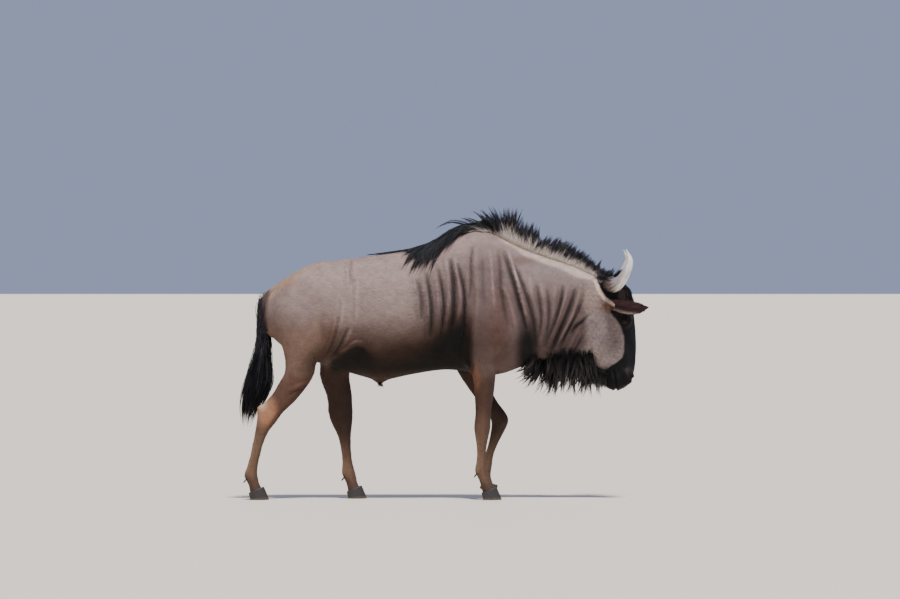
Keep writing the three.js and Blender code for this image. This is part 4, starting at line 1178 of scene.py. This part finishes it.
def drape(clumps, seed, share_right):
    """Locks that lie back along the spine and slide down over the flank."""
    draw = np.random.default_rng(seed)
    x = draw.uniform(-60, 235, clumps)
    side = np.where(draw.random(clumps) < share_right, -1.0, 1.0)
    long = np.interp(x, [-60, 40, 190], [150, 240, 290]) * draw.uniform(0.55, 1.2, clumps)
    drop = draw.uniform(0.04, 1.0, clumps) ** 0.9 * np.interp(x, [-60, 60, 200], [0.8, 1.05, 0.7])
    height = draw.uniform(3, 22, clumps) * np.interp(x, [-60, 100, 235], [0.6, 1.0, 0.7])
    start = draw.uniform(0, 0.16, clumps)

    def path(s):
        angle = np.pi / 2 - side[:, None] * (start[:, None] + drop[:, None] * s**1.7)
        along = x[:, None] - long[:, None] * s * (1 - 0.16 * drop[:, None] * s)
        on = on_trunk(along, angle)
        flat = np.interp(along, [-200, -60, 60], [0.1, 0.35, 1.0])
        bow = np.sin(np.pi * np.minimum(s * 0.9 + 0.06, 1))
        lift = height[:, None] * flat * bow + 3 - 9 * (1 - s) ** 4
        return on + lift[..., None] * trunk_out(along, angle)

    return path


long_hair(
    "mane_draped", 330, 12, drape(330, 71, 0.6), 2.9, 8, 72, all_black,
    (0.1, 0, 1), (8, 6, 3), 0.9,
)


def spine_line(clumps, seed):
    """The mane's last hairs, a thin black line that dies out along the back."""
    draw = np.random.default_rng(seed)
    x = -330 + 320 * draw.random(clumps) ** 0.8
    side = draw.normal(0, 5, clumps)

    def path(s):
        along = x[:, None] - 80 * s
        angle = np.pi / 2 - side[:, None] * (1 + s) / 200
        lift = (3 - 7 * (1 - s) ** 4)[None, :, None]
        return on_trunk(along, angle) + np.array([0, 0, 1.0]) * lift

    return path


long_hair(
    "mane_spine", 130, 6, spine_line(130, 81), 3.0, 5, 82, all_black,
    (0, 0, 1), (5, 3.5, 1.0), 0.5,
)


def forelock(clumps, seed):
    """Locks on the poll that stand and lean forward over the brow, one of them in a spike."""
    draw = np.random.default_rng(seed)
    share = draw.random(clumps)
    lean = 0.1 + 0.75 * share + draw.normal(0, 0.12, clumps)
    side = draw.normal(0, 17, clumps)
    long = (84 - 22 * share) * draw.uniform(0.6, 1.15, clumps)
    spike = np.arange(clumps) < 6
    share, lean = np.where(spike, -0.34, share), np.where(spike, 0.3, lean)
    side, long = np.where(spike, 0.2 * side, side), np.where(spike, 128.0, long)

    def path(s):
        grown = long[:, None] * s
        x = 806 + 62 * share[:, None] + grown * np.sin(lean)[:, None] + 10 * s**2
        z = 1138 - 16 * share[:, None] + grown * np.cos(lean)[:, None] - 10 * s**2
        return np.stack([x, side[:, None] * (1 + 0.3 * s), z - 6], -1)

    return path


long_hair(
    "forelock", 110, 9, forelock(110, 91), 3.0, 5, 92, all_black,
    (0, 1, 0), (7, 6, 3), 0.55,
)


def brow_hair(seed=95, each=6):
    """Rough hair rooted over the brow between horns and eyes, that lies down the face."""
    draw = np.random.default_rng(seed)
    at, normal, _ = skin_roots(
        lambda p: 0.012 * step(1010, 1060, p[:, 2]) * step(905, 930, p[:, 0])
        * (1 - step(34, 56, np.abs(p[:, 1]))), seed
    )
    count = len(at)
    way = np.array([0.25, 0.0, -1.0]) + draw.normal(0, 0.2, (count, 3))
    way = unit(way - (way * normal).sum(-1, keepdims=True) * normal)
    long, high = draw.uniform(26, 46, (2, count, 1, 1))

    def path(s):
        along = long * s[None, :, None] * way[:, None]
        bow = 0.26 * high * np.sin(2.4 * s)[None, :, None]
        return at[:, None] + along + (bow - 1) * normal[:, None]

    def colour(rings, share, clump, draw):
        varied = draw.uniform(0.5, 1.6, (len(rings), 1, 1))
        return tone(22, 18, 19) * varied + 0 * share[None, :, None]

    long_hair(
        "brow_hair", count, each, path, 1.8, 5, seed + 1, colour, (0, 1, 0),
        (3, 3, 2), 0.6,
    )


brow_hair()

# Beard
# Long black hair with brown-grey tips in it, partly real and partly painted highlight, that hangs from the
# throat and under the jaw. The locks nearest the chest curl back at their tips.


def beard(clumps, seed):
    """Locks that hang from the throat, longer towards the jaw, and curl in a square curve."""
    draw = np.random.default_rng(seed)
    share = draw.random(clumps) ** 0.8
    x = 425 + 368 * share
    turn = draw.normal(0, 0.34, clumps).clip(-0.62, 0.62)
    root = on_trunk(x, 1.5 * np.pi + turn)
    grown = np.clip(0.35 + 1.9 * share, 0, 1)
    long = 214 * grown * (1.12 - 0.6 * draw.random(clumps))
    curl = np.interp(share, [0, 0.3, 1], [-0.8, -0.16, 0.0]) + draw.normal(0, 0.17, clumps)

    def path(s):
        x_at = root[:, 0, None] + long[:, None] * (0.04 * s + curl[:, None] * s**2)
        drop = s - 0.24 * np.abs(curl)[:, None] * s**2
        z_at = root[:, 2, None] + 10 - long[:, None] * drop
        y_at = root[:, 1, None] * (1 - 0.3 * s) * 0.92
        return np.stack([x_at, y_at, z_at], -1)

    return path


def beard_colour(rings, share, clump, draw):
    """Black, with some hairs brown-grey towards their tips, partly real and partly painted highlight."""
    count = len(rings)
    # brown-grey tips: partly real hair, partly painted highlight
    brown = (draw.random(count) ** 2.2)[:, None, None] * step(0.1, 0.9, share)[None, :, None]
    amount = 0.95 * brown
    return HAIR_BLACK * (1 - amount) + tone(104, 97, 96) * amount


long_hair(
    "beard_neck", 236, 17, beard(236, 101), 2.5, 7, 102, beard_colour,
    (0, 1, 0), (10, 8, 5), 0.94,
)


def chin_beard(clumps, seed):
    """Shorter locks that hang from under the jaw, shortest at the chin."""
    draw = np.random.default_rng(seed)
    share = draw.random(clumps)
    side = draw.normal(0, 22, clumps)
    long = (150 - 62 * share) * draw.uniform(0.6, 1.1, clumps)
    lean = -0.16 + draw.normal(0, 0.1, clumps)

    def path(s):
        x = 752 + 108 * share[:, None] + long[:, None] * s * lean[:, None] + 14 * s**2
        z = 735 - 84 * share[:, None] - long[:, None] * s * 0.97
        return np.stack([x, side[:, None] * (1 - 0.25 * s), z], -1)

    return path


long_hair(
    "beard_chin", 120, 13, chin_beard(120, 111), 2.6, 6, 112, beard_colour,
    (0, 1, 0), (7, 7, 4), 0.82,
)


def sheath_hair(clumps, seed):
    """A small tuft that hangs from the end of the sheath."""
    draw = np.random.default_rng(seed)
    x, y = draw.normal(-326, 6, clumps), draw.normal(0, 4, clumps)
    long = 30 * draw.uniform(0.6, 1.1, clumps)

    def path(s):
        z = 606 - long[:, None] * s
        return np.stack([x[:, None] + 8 * s, y[:, None] * (1 - 0.5 * s), z], -1)

    return path


long_hair(
    "sheath_hair", 14, 8, sheath_hair(14, 121), 1.6, 4, 122, beard_colour,
    (0, 1, 0), (2.5, 2, 2), 0.7,
)

# Tail
# A thin dock, hidden from its upper third down by long black hair that swells into a tuft and
# ends in a point below the hocks.

# Height, middle and half width of the tuft.
TUFT = [
    (1080, -916, 24), (1035, -925, 26), (860, -929, 28), (780, -930, 33), (725, -936, 46),
    (671, -946, 60), (590, -957, 70), (515, -985, 60), (437, -1005, 42), (350, -1016, 20),
]


def tail_hair(clumps, seed):
    """A lock keeps its own share of the tuft's half width from its root to its tip."""
    draw = np.random.default_rng(seed)
    root_z = 1066 - 336 * draw.random(clumps) ** 0.75
    long = np.where(root_z > 850, 210, 380) * draw.uniform(0.7, 1.12, clumps)
    long = np.minimum(long, root_z - 352 - 40 * draw.random(clumps))
    around, share = draw.uniform(0, 2 * np.pi, clumps), np.sqrt(draw.random(clumps))
    table = np.array(TUFT, float)[::-1]

    def path(s):
        z = root_z[:, None] - long[:, None] * s
        middle = np.interp(z, table[:, 0], table[:, 1])
        wide = np.interp(z, table[:, 0], table[:, 2])
        leaves = step(0, 0.4, s)
        reach = (22 * (1 - leaves) + wide * share[:, None] * leaves)
        x = middle + reach * np.cos(around)[:, None]
        return np.stack([x, 0.68 * reach * np.sin(around)[:, None], z], -1)

    return path


def tail_colour(rings, share, clump, draw):
    """Black with some grey hairs, and dark brown where the root is high on the dock."""
    count = len(rings)
    high = step(840, 960, rings[:, 0, 2])[:, None, None]
    grey = (draw.random(count) ** 3)[:, None, None] * 0.3
    low_hair = HAIR_BLACK * (1 - grey) * (1 - high) + HAIR_GREY * grey * (1 - high)
    return low_hair + tone(40, 34, 38) * high + 0 * share[None, :, None]


tail = long_hair(
    "tail_hair", 420, 11, tail_hair(420, 131), 4.0, 7, 132, tail_colour,
    (0.3, 1, 0), (8, 7, 8), 0.55,
)
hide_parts("tail")

# Ears
# Narrow leaves that point forward and a little down, with painted shade inside their cups, a pale lower edge
# and short hair on both faces.

EAR_LINE = [(842, 60, 1018), (892, 86, 1012), (962, 116, 997), (1025, 136, 993), (1071, 148, 998)]
EAR_HALF_WIDTH = [16, 27, 34, 25, 2]


def frames(line, t, side, facing):
    """Places along a smooth line with, square to it, the direction across the way it faces and
    the direction out of it."""
    points = np.array(line, float) * (1, side, 1)
    at = through(points, t)
    tangent = unit(through(points, t + 0.002) - through(points, t - 0.002))
    across = unit(np.cross(tangent, facing))
    return at, across, np.cross(across, tangent)


def ear_surface(side, rows=60, around=48):
    """A crescent carried along the ear's line: its back is half an ellipse, and its inside
    follows the back at the thickness of the ear, thinnest at the rim."""
    t, angle = ring_grid(rows, around)
    at, across, out = frames(EAR_LINE, 0.004 + 0.992 * t, side, np.array([-0.25, side, -0.25]))
    wide = through(EAR_HALF_WIDTH, t)[..., 0].clip(1.2)
    back = -0.5 * wide * np.abs(np.sin(angle))
    thick = (2.5 + 5 * (1 - t)) * np.abs(np.sin(angle)) ** 0.6
    deep = np.where(np.sin(angle) < 0, back, np.minimum(back + thick, 0))
    deep = deep + 5 * np.sin(np.pi * t) * np.cos(angle) ** 2
    ripple = 1.5 * np.sin(7 * angle + 1.5 * t) * np.sin(np.pi * t) * np.clip(np.sin(angle), 0, 1)
    wander = 1 + 0.02 * np.sin(21 * t)
    rings = at + across * (wide * np.cos(angle) * wander)[..., None]
    return rings + out * (deep + ripple)[..., None], t, angle


def laid(colour, shade, mask):
    """A colour from 0 to 255 laid over others by a mask from 0 to 1."""
    return colour * (1 - mask[..., None]) + tone(*shade) * mask[..., None]


def point_tints(tint):
    """The colours of a closed tube's points: those of its rings, then the mean of each end's."""
    return np.concatenate([tint.reshape(-1, 3), tint[0].mean(0)[None], tint[-1].mean(0)[None]])


def ear_tint(t, angle, side):
    """Dark brown, with painted shade deep in the cup; pale along the lower rim near the root, black at the
    tip.
    """
    near_root = 1 - step(0.35, 0.75, t)
    # painted shade deep in the cup
    cup_shade = hump(np.cos(angle), 0.1, 0.55) * (np.sin(angle) > 0) * (1 - step(0.15, 0.75, t))
    colour = np.zeros(t.shape + (3,)) + tone(58, 40, 38)
    colour = laid(colour, (70, 48, 50), step(-0.1, 0.3, np.sin(angle)))
    colour = laid(colour, (170, 146, 130), 0.85 * step(0.55, 0.95, -np.cos(angle) * side) * near_root)
    colour = laid(colour, (30, 19, 21), 0.7 * cup_shade)
    return laid(colour, (20, 16, 17), 0.6 * step(0.7, 1.0, t))


ear_parts, ear_tints, ear_rings = [], [], []
for side in (RIGHT, LEFT):
    rings, t, angle = ear_surface(side)
    tint = ear_tint(t, angle, side)
    ear_parts.append(closed_tube(rings))
    ear_tints.append(point_tints(tint))
    ear_rings.append((rings, tint))
ears = put("ears", *joined(ear_parts))
colour_points(ears, np.concatenate(ear_tints))
ears.data.materials.append(short_coat)
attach(ears, "root")
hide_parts("right_ear", "left_ear")


def ear_hair(seed=141, clumps=500, each=6):
    """Fine hair along the rims and inside the cups, that lies towards the tip."""
    draw = np.random.default_rng(seed)
    roots, ways, tints = [], [], []
    for rings, tint in ear_rings:
        row = draw.integers(4, 50, clumps)
        column = draw.choice([0, 24, 0, 24, 7, 12, 17], clumps) + draw.integers(-3, 4, clumps)
        column = column % 48
        roots.append(rings[row, column])
        forward = unit(rings[row + 4, column] - rings[row, column])
        outward = unit(rings[row, column] - rings[row].mean(1))
        ways.append(forward * 0.9 + outward * draw.uniform(0.0, 0.3, (clumps, 1)))
        tints.append(tint[row, column])
    roots, ways = np.concatenate(roots), np.concatenate(ways)
    tints = np.concatenate(tints)
    long = draw.uniform(6, 11, len(roots))

    def path(s):
        return roots[:, None] + ways[:, None] * (long[:, None] * s)[..., None]

    def colour(rings, share, clump, draw):
        varied = draw.uniform(0.9, 1.25, (len(rings), 1, 1))
        return tints[clump][:, None] * varied + 0 * share[None, :, None]

    long_hair(
        "ear_hair", len(roots), each, path, 1.0, 4, seed + 1, colour, (0, 1, 0),
        (2.5, 2.5, 2), 0.5,
    )


ear_hair()

# Eyes
# Dark brown wet balls set in the sides of the head under heavy brows, with a level pupil, a
# clear bulging front, and black lids that close round them in an almond.

EYE = np.array([946.0, 66.0, 925.0])
EYE_RADIUS = 20.0


def eye_frame(side):
    """The eye's outward axis, and the level and upward directions square to it."""
    axis = unit(np.array([0.3, side, 0.06]))
    level = unit(np.cross(axis, [0, 0, 1.0]))
    return axis, level, np.cross(level, axis)


def eye_ball(side, rows=60, around=72):
    """A sphere about the eye's own outward axis, whose front swells by a bell curve."""
    t, turn = ring_grid(rows, around)
    tilt = np.pi * (0.004 + 0.992 * t)
    radius = EYE_RADIUS * (1 + 0.05 * hump(tilt, 0, 0.5))
    flat = radius * np.sin(tilt)
    u, v, w = flat * np.cos(turn), flat * np.sin(turn), radius * np.cos(tilt)
    axis, level, up = eye_frame(side)
    rings = EYE * (1, side, 1) + u[..., None] * level + v[..., None] * up + w[..., None] * axis
    streak = 0.85 + 0.25 * np.sin(turn * 40) * np.sin(tilt * 30)
    colour = laid(tone(58, 30, 20) * streak[..., None], (34, 24, 24), step(0.62, 0.7, tilt))
    pupil = 1 - step(0.8, 1.05, np.hypot(u / 7.0, v / 3.6))
    return closed_tube(rings), point_tints(laid(colour, (6, 6, 8), pupil * (w > 0)))


balls = [eye_ball(side) for side in (RIGHT, LEFT)]
eyes = put("eyes", *joined([ball for ball, _ in balls]))
colour_points(eyes, np.concatenate([tint for _, tint in balls]), "eye_colour")
wet = bpy.data.materials.new("wet_eye")
wet.use_nodes = True
iris_colour = add_node(wet.node_tree, "Attribute", {})
iris_colour.attribute_name = "eye_colour"
feed(wet.node_tree, wet.node_tree.nodes["Principled BSDF"], {
    "Base Color": iris_colour.outputs["Color"], "Roughness": 0.35, "Specular IOR Level": 0.15,
    "Coat Weight": 0.12, "Coat Roughness": 0.08,
})
eyes.data.materials.append(wet)
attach(eyes, "root")
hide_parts("right_eye", "left_eye")


def eyelid(side, rows=26, around=80):
    """A ring from the almond opening, which lies on the ball, outwards: first the rolled edge
    of the lid, then a fold, then down into the skin round the socket."""
    t, turn = ring_grid(rows, around)
    axis, level, up = eye_frame(side)
    level = -side * level
    upper = np.sin(turn) > 0
    open_u = 17.0 * np.cos(turn) * (1 + 0.12 * np.cos(turn))
    round_lid = np.sin(turn) * np.abs(np.sin(turn)) ** 0.25
    open_v = np.where(upper, 9.5, 8.0) * round_lid - 2.5 * np.cos(turn)
    rim_u, rim_v = 41 * np.cos(turn), np.where(upper, 30, 27) * np.sin(turn)
    u, v = open_u * (1 - t) + rim_u * t, open_v * (1 - t) + rim_v * t
    on_ball = np.sqrt(np.clip((EYE_RADIUS * 1.05) ** 2 - u**2 - v**2, 0, None))
    edge = np.sqrt(np.clip((EYE_RADIUS * 1.05) ** 2 - open_u**2 - open_v**2, 30, None))
    heavy = np.where(upper, 4.0, 2.6)
    height = edge * (1 - step(0, 1, t)) + heavy * hump(t, 0.13, 0.12) - 2.2 * hump(t, 0.36, 0.09)
    height = height + np.where(upper, 2.5, 1.4) * hump(t, 0.55, 0.14)
    height = height - 16 * t**2 + 1.5 * (t < 0.06)
    height = np.maximum(height, np.where(t < 0.5, on_ball + 0.9, -99))
    return EYE * (1, side, 1) + u[..., None] * level + v[..., None] * up + height[..., None] * axis


lid_parts = []
for side in (RIGHT, LEFT):
    points, faces = open_tube(eyelid(side))
    lid_parts.append((points, faces if side == RIGHT else faces[:, ::-1]))
lid_points, lid_faces = joined(lid_parts)
lids = put("eyelids", lid_points, lid_faces)
lid_tint = tone(26, 21, 22) * (1 + 0.35 * noise(lid_points, 9, 7))[:, None]
colour_points(lids, lid_tint)
lids.data.materials.append(short_coat)
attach(lids, "root")


def lashes(seed=151):
    """Stiff short hairs along the upper lid, that stand out and hang."""
    draw = np.random.default_rng(seed)
    roots, ways = [], []
    for side in (RIGHT, LEFT):
        ring = eyelid(side)[2]
        pick = draw.integers(3, 37, 46)
        roots.append(ring[pick])
        ways.append(np.tile([0.25, 0.9 * side, 0.15], (46, 1)) + draw.normal(0, 0.15, (46, 3)))
    roots, ways = np.concatenate(roots), np.concatenate(ways)
    long = draw.uniform(9, 15, len(roots))

    def path(s):
        drop = np.array([0, 0, -0.5]) * (s**2)[None, :, None] * long[:, None, None]
        return roots[:, None] + ways[:, None] * (long[:, None] * s)[..., None] + drop

    def colour(rings, share, clump, draw):
        return np.tile(tone(12, 10, 11), (len(rings), len(share), 1))

    long_hair(
        "lashes", len(roots), 2, path, 0.9, 4, seed + 1, colour, (0, 0, 1),
        (0.6, 0.6, 0.3), 0.2,
    )


lashes()

# Horns
# Each rises from a rough black boss on the crown, sweeps out and a little down, then up and in
# to a smooth pale point.

HORN_LINE = [
    (868, 22, 1106), (880, 82, 1116), (896, 146, 1112), (925, 203, 1136), (954, 236, 1186),
    (969, 239, 1240), (951, 220, 1296),
]
HORN_RADIUS = [44, 42, 37, 32, 26, 19, 3]


def horn_surface(side, rows=260, around=64):
    """An ellipse carried along the horn. Its boss is scored across by rings and pitted along,
    and both die out a third of the way up."""
    t, angle = ring_grid(rows, around)
    at, across, out = frames(HORN_LINE, t, side, np.array([1.0, 0, 0]))
    radius = through(HORN_RADIUS, t)[..., 0].clip(1.0)
    rough = 1 - step(0.12, 0.5, t)
    scored = 1.3 * rough * np.sin(150 * t + 1.2 * np.sin(2 * angle)) * (0.6 + 0.4 * np.sin(17 * t))
    pits = 0.8 * rough * np.sin(13 * angle + 22 * t) + 0.35 * np.sin(5 * angle + 40 * t) * (1 - t)
    radius = radius + (scored + pits) * step(0.02, 0.08, t)
    place = at + across * (radius * np.cos(angle))[..., None]
    return place + out * (0.86 * radius * np.sin(angle))[..., None], t, angle


def horn_tint(t, angle):
    """Black at the boss, brown for a short way, then pale grey, with brown low on its back that is painted
    shade.
    """
    streak = 0.04 * np.sin(11 * angle + 9 * t) + 0.03 * np.sin(23 * angle)
    pale = step(0.30, 0.47, t + streak)[..., None]
    boss = np.zeros(t.shape + (3,)) + tone(26, 22, 23)
    boss = laid(boss, (84, 68, 60), step(0.16, 0.34, t + streak))
    tip = tone(214, 208, 206) * (0.92 + 0.08 * np.sin(7 * angle + 3))[..., None]
    # painted shade, brown, on the horn's back towards the boss
    under = 0.55 * step(0.2, 0.9, -np.sin(angle)) * (1 - step(0.5, 0.95, t))
    return boss * (1 - pale) + laid(tip, (118, 102, 94), under) * pale


horn_parts, horn_tints = [], []
for side in (RIGHT, LEFT):
    rings, t, angle = horn_surface(side)
    horn_parts.append(closed_tube(rings))
    horn_tints.append(point_tints(horn_tint(t, angle)))
horns = put("horns", *joined(horn_parts))
colour_points(horns, np.concatenate(horn_tints), "horn_colour")


def horn_grain_group():
    """Worn horn: fine streaks, drawn out along chosen axes, and cloudy blotches."""
    group, given, leave = grain_group("horn_grain", "Drawn", "NodeSocketVector", (1, 1, 1))
    scaled = add_node(group, "VectorMath", {0: given["Place"], 1: given["Drawn"]}, "MULTIPLY")
    fine = {"Vector": scaled.outputs[0], "Scale": 260.0, "Detail": 5.0}
    streaks = add_node(group, "TexNoise", fine)
    clouds = add_node(group, "TexNoise", {"Vector": given["Place"], "Scale": 26.0, "Detail": 3.0})
    total = add_node(group, "Math", {0: streaks.outputs["Fac"], 1: clouds.outputs["Fac"]}, "ADD")
    ends = {"From Min": 0.7, "From Max": 1.3, "To Min": 0.68, "To Max": 1.25}
    tint = add_node(group, "MapRange", {"Value": total.outputs[0], **ends})
    feed(group, leave, {"Height": streaks.outputs["Fac"], "Tint": tint.outputs["Result"]})
    return group


horn_grain = horn_grain_group()


def keratin(name, attribute, drawn, roughness, depth):
    """Horn with its grain and a thin worn gloss."""
    finish = {"Roughness": roughness, "Coat Weight": 0.15, "Coat Roughness": 0.3}
    return grained(name, attribute, horn_grain, {"Drawn": drawn}, 0.5, depth, finish)


horns.data.materials.append(keratin("horn", "horn_colour", (1.0, 0.4, 0.5), 0.42, 0.0008))
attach(horns, "root")
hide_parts("right_horn", "left_horn")

# Hooves
# Two claws to a foot, of dark horn with fine growth rings parallel to the coronet, worn and
# dusty at the sole, and two small dewclaws behind the fetlock.

CLAW_LONG, CLAW_WIDE, CLAW_HIGH, CLAW_APART = 98, 37, 52, 42
# Length and height of the dewclaws of each foot.
DEWCLAWS = {
    ("fore", RIGHT): (176, 128), ("fore", LEFT): (196, 150),
    ("hind", RIGHT): (-1018, 100), ("hind", LEFT): (-514, 104),
}


def claw_surface(end, side, claw, rows=56, around=64):
    """Rings from the sole up: half ellipses drawn to a blunt point ahead, smaller and further
    back with height, on a slope; growth rings stand out by a small wave."""
    t, angle = ring_grid(rows, around)
    ahead = np.cos(angle)
    flare = 1 - 0.2 * t
    point = np.where(ahead > 0, 1 - 0.45 * ahead.clip(0) ** 3, 1)
    growth = 0.006 * np.sin(44 * t) * step(0.06, 0.2, t)
    wave = 1 + growth - 0.05 * hump(t, 1, 0.05) - 0.03 * hump(t, 0, 0.03)
    x = CLAW_LONG / 2 * flare * ahead * wave - t * CLAW_HIGH * 0.36
    y = CLAW_WIDE / 2 * flare * np.sin(angle) * point * wave
    z = t * CLAW_HIGH * (1 + 0.3 * ahead)
    turn = -claw * 0.08
    x, y = x * np.cos(turn) - y * np.sin(turn), x * np.sin(turn) + y * np.cos(turn)
    place, along, up = foot_frame(end, side)
    y = y + claw * CLAW_APART / 2
    rings = place + x[..., None] * along + z[..., None] * up + y[..., None] * np.array([0, 1.0, 0])
    rings[..., 2] = rings[..., 2].clip(0.3)
    return rings, t


def claw_tint(t):
    """Black-brown, paler and dusty towards the sole, with a faint band for each ring."""
    colour = laid(np.zeros(t.shape + (3,)) + tone(38, 32, 30), (104, 88, 72), 0.45 * (1 - step(0.0, 0.3, t)))
    return colour * (1 + 0.12 * np.sin(44 * t + 0.6))[..., None]


claws, tints = [], []
for end, side in FEET:
    for claw in (RIGHT, LEFT):
        rings, t = claw_surface(end, side, claw)
        claws.append(closed_tube(rings))
        tints.append(point_tints(claw_tint(t)))
hooves = put("hooves", *joined(claws))
colour_points(hooves, np.concatenate(tints), "hoof_colour")
hoof_matter = keratin("hoof", "hoof_colour", (0.35, 0.35, 1.0), 0.6, 0.0009)
hooves.data.materials.append(hoof_matter)
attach(hooves, "root")
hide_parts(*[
    f"{name}_{leg}leg_{claw}_claw"
    for name in ("right", "left") for leg in ("fore", "hind") for claw in ("right", "left")
])


def dewclaw(x, y, z, side):
    """A short blunt cone that hangs down and back behind the fetlock."""
    t, angle = ring_grid(16, 20)
    wide = 10.5 * np.sqrt(np.clip(1 - (1.02 * t) ** 2.4, 0.02, 1)) * (1 + 0.03 * np.sin(30 * t))
    at = np.stack([x - 13 * t, y + 0 * t, z + 8 - 22 * t], -1)
    around = np.stack([np.cos(angle) * 0.8, np.sin(angle), 0.5 * np.cos(angle)], -1)
    return closed_tube(at + wide[..., None] * around)


spurs = []
for (end, side), (x, z) in DEWCLAWS.items():
    off = FEET[end, side][1]
    spurs += [dewclaw(x + 4, side * off + claw * 15, z, side) for claw in (RIGHT, LEFT)]
dewclaws = put("dewclaws", *joined(spurs))
spur_tint = np.tile(tone(44, 38, 36), (len(dewclaws.data.vertices), 1))
colour_points(dewclaws, spur_tint, "hoof_colour")
dewclaws.data.materials.append(hoof_matter)
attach(dewclaws, "root")

# Studio
# A plain pale floor and world, soft overhead light, and a long lens far off to the right
# side of the animal, as the photograph was taken.

WIDE = 3e6
FLOOR_COLOUR, SKY_COLOUR, SKY_STRENGTH = (0.86, 0.75, 0.6, 1), (0.57, 0.67, 1.0, 1), 0.5
floor_corners = np.array([[-1, -1, 0], [1, -1, 0], [1, 1, 0], [-1, 1, 0]]) * WIDE + (0, 0, -1)
floor = put("floor", floor_corners, np.array([[0, 1, 2, 3]]))
floor_matter = bpy.data.materials.new("pale_floor")
floor_matter.use_nodes = True
floor_shader = floor_matter.node_tree.nodes["Principled BSDF"]
floor_shader.inputs["Base Color"].default_value = FLOOR_COLOUR
floor.data.materials.append(floor_matter)

world = bpy.data.worlds.new("pale_sky")
bpy.context.scene.world = world
world.use_nodes = True
background = world.node_tree.nodes["Background"]
background.inputs["Color"].default_value = SKY_COLOUR
background.inputs["Strength"].default_value = SKY_STRENGTH

sun = bpy.data.lights.new("sun", "SUN")
sun.energy, sun.angle = 5.2, 0.15
sun_object = bpy.data.objects.new("sun", sun)
sun_object.rotation_euler = (0.45, 0.12, 0.0)
bpy.context.scene.collection.objects.link(sun_object)

# The photograph's frame in pixels, and the row at which its horizon lies, which is as high as
# the camera; the camera is turned down by as much as the horizon is above the frame's middle.
FRAME_WIDE, FRAME_HIGH, HORIZON = 900, 599, 292
DISTANCE, SENSOR = 30.0, 36.0
METRES_PER_PIXEL = MM_PER_PIXEL / 1000
camera = bpy.data.cameras.new("camera")
camera_object = bpy.data.objects.new("camera", camera)
camera.sensor_width = SENSOR
camera.lens = SENSOR * DISTANCE / (FRAME_WIDE * METRES_PER_PIXEL)
camera.clip_end = 5000.0
across = (FRAME_WIDE / 2 - ORIGIN[0]) * METRES_PER_PIXEL - MIDDLE[0] / 1000
high = (ORIGIN[1] - HORIZON) * METRES_PER_PIXEL
dip = (FRAME_HIGH / 2 - HORIZON) * METRES_PER_PIXEL / DISTANCE
camera_object.location = (across, -DISTANCE, high)
camera_object.rotation_euler = (np.pi / 2 - dip, 0, 0)
bpy.context.scene.collection.objects.link(camera_object)
bpy.context.scene.camera = camera_object
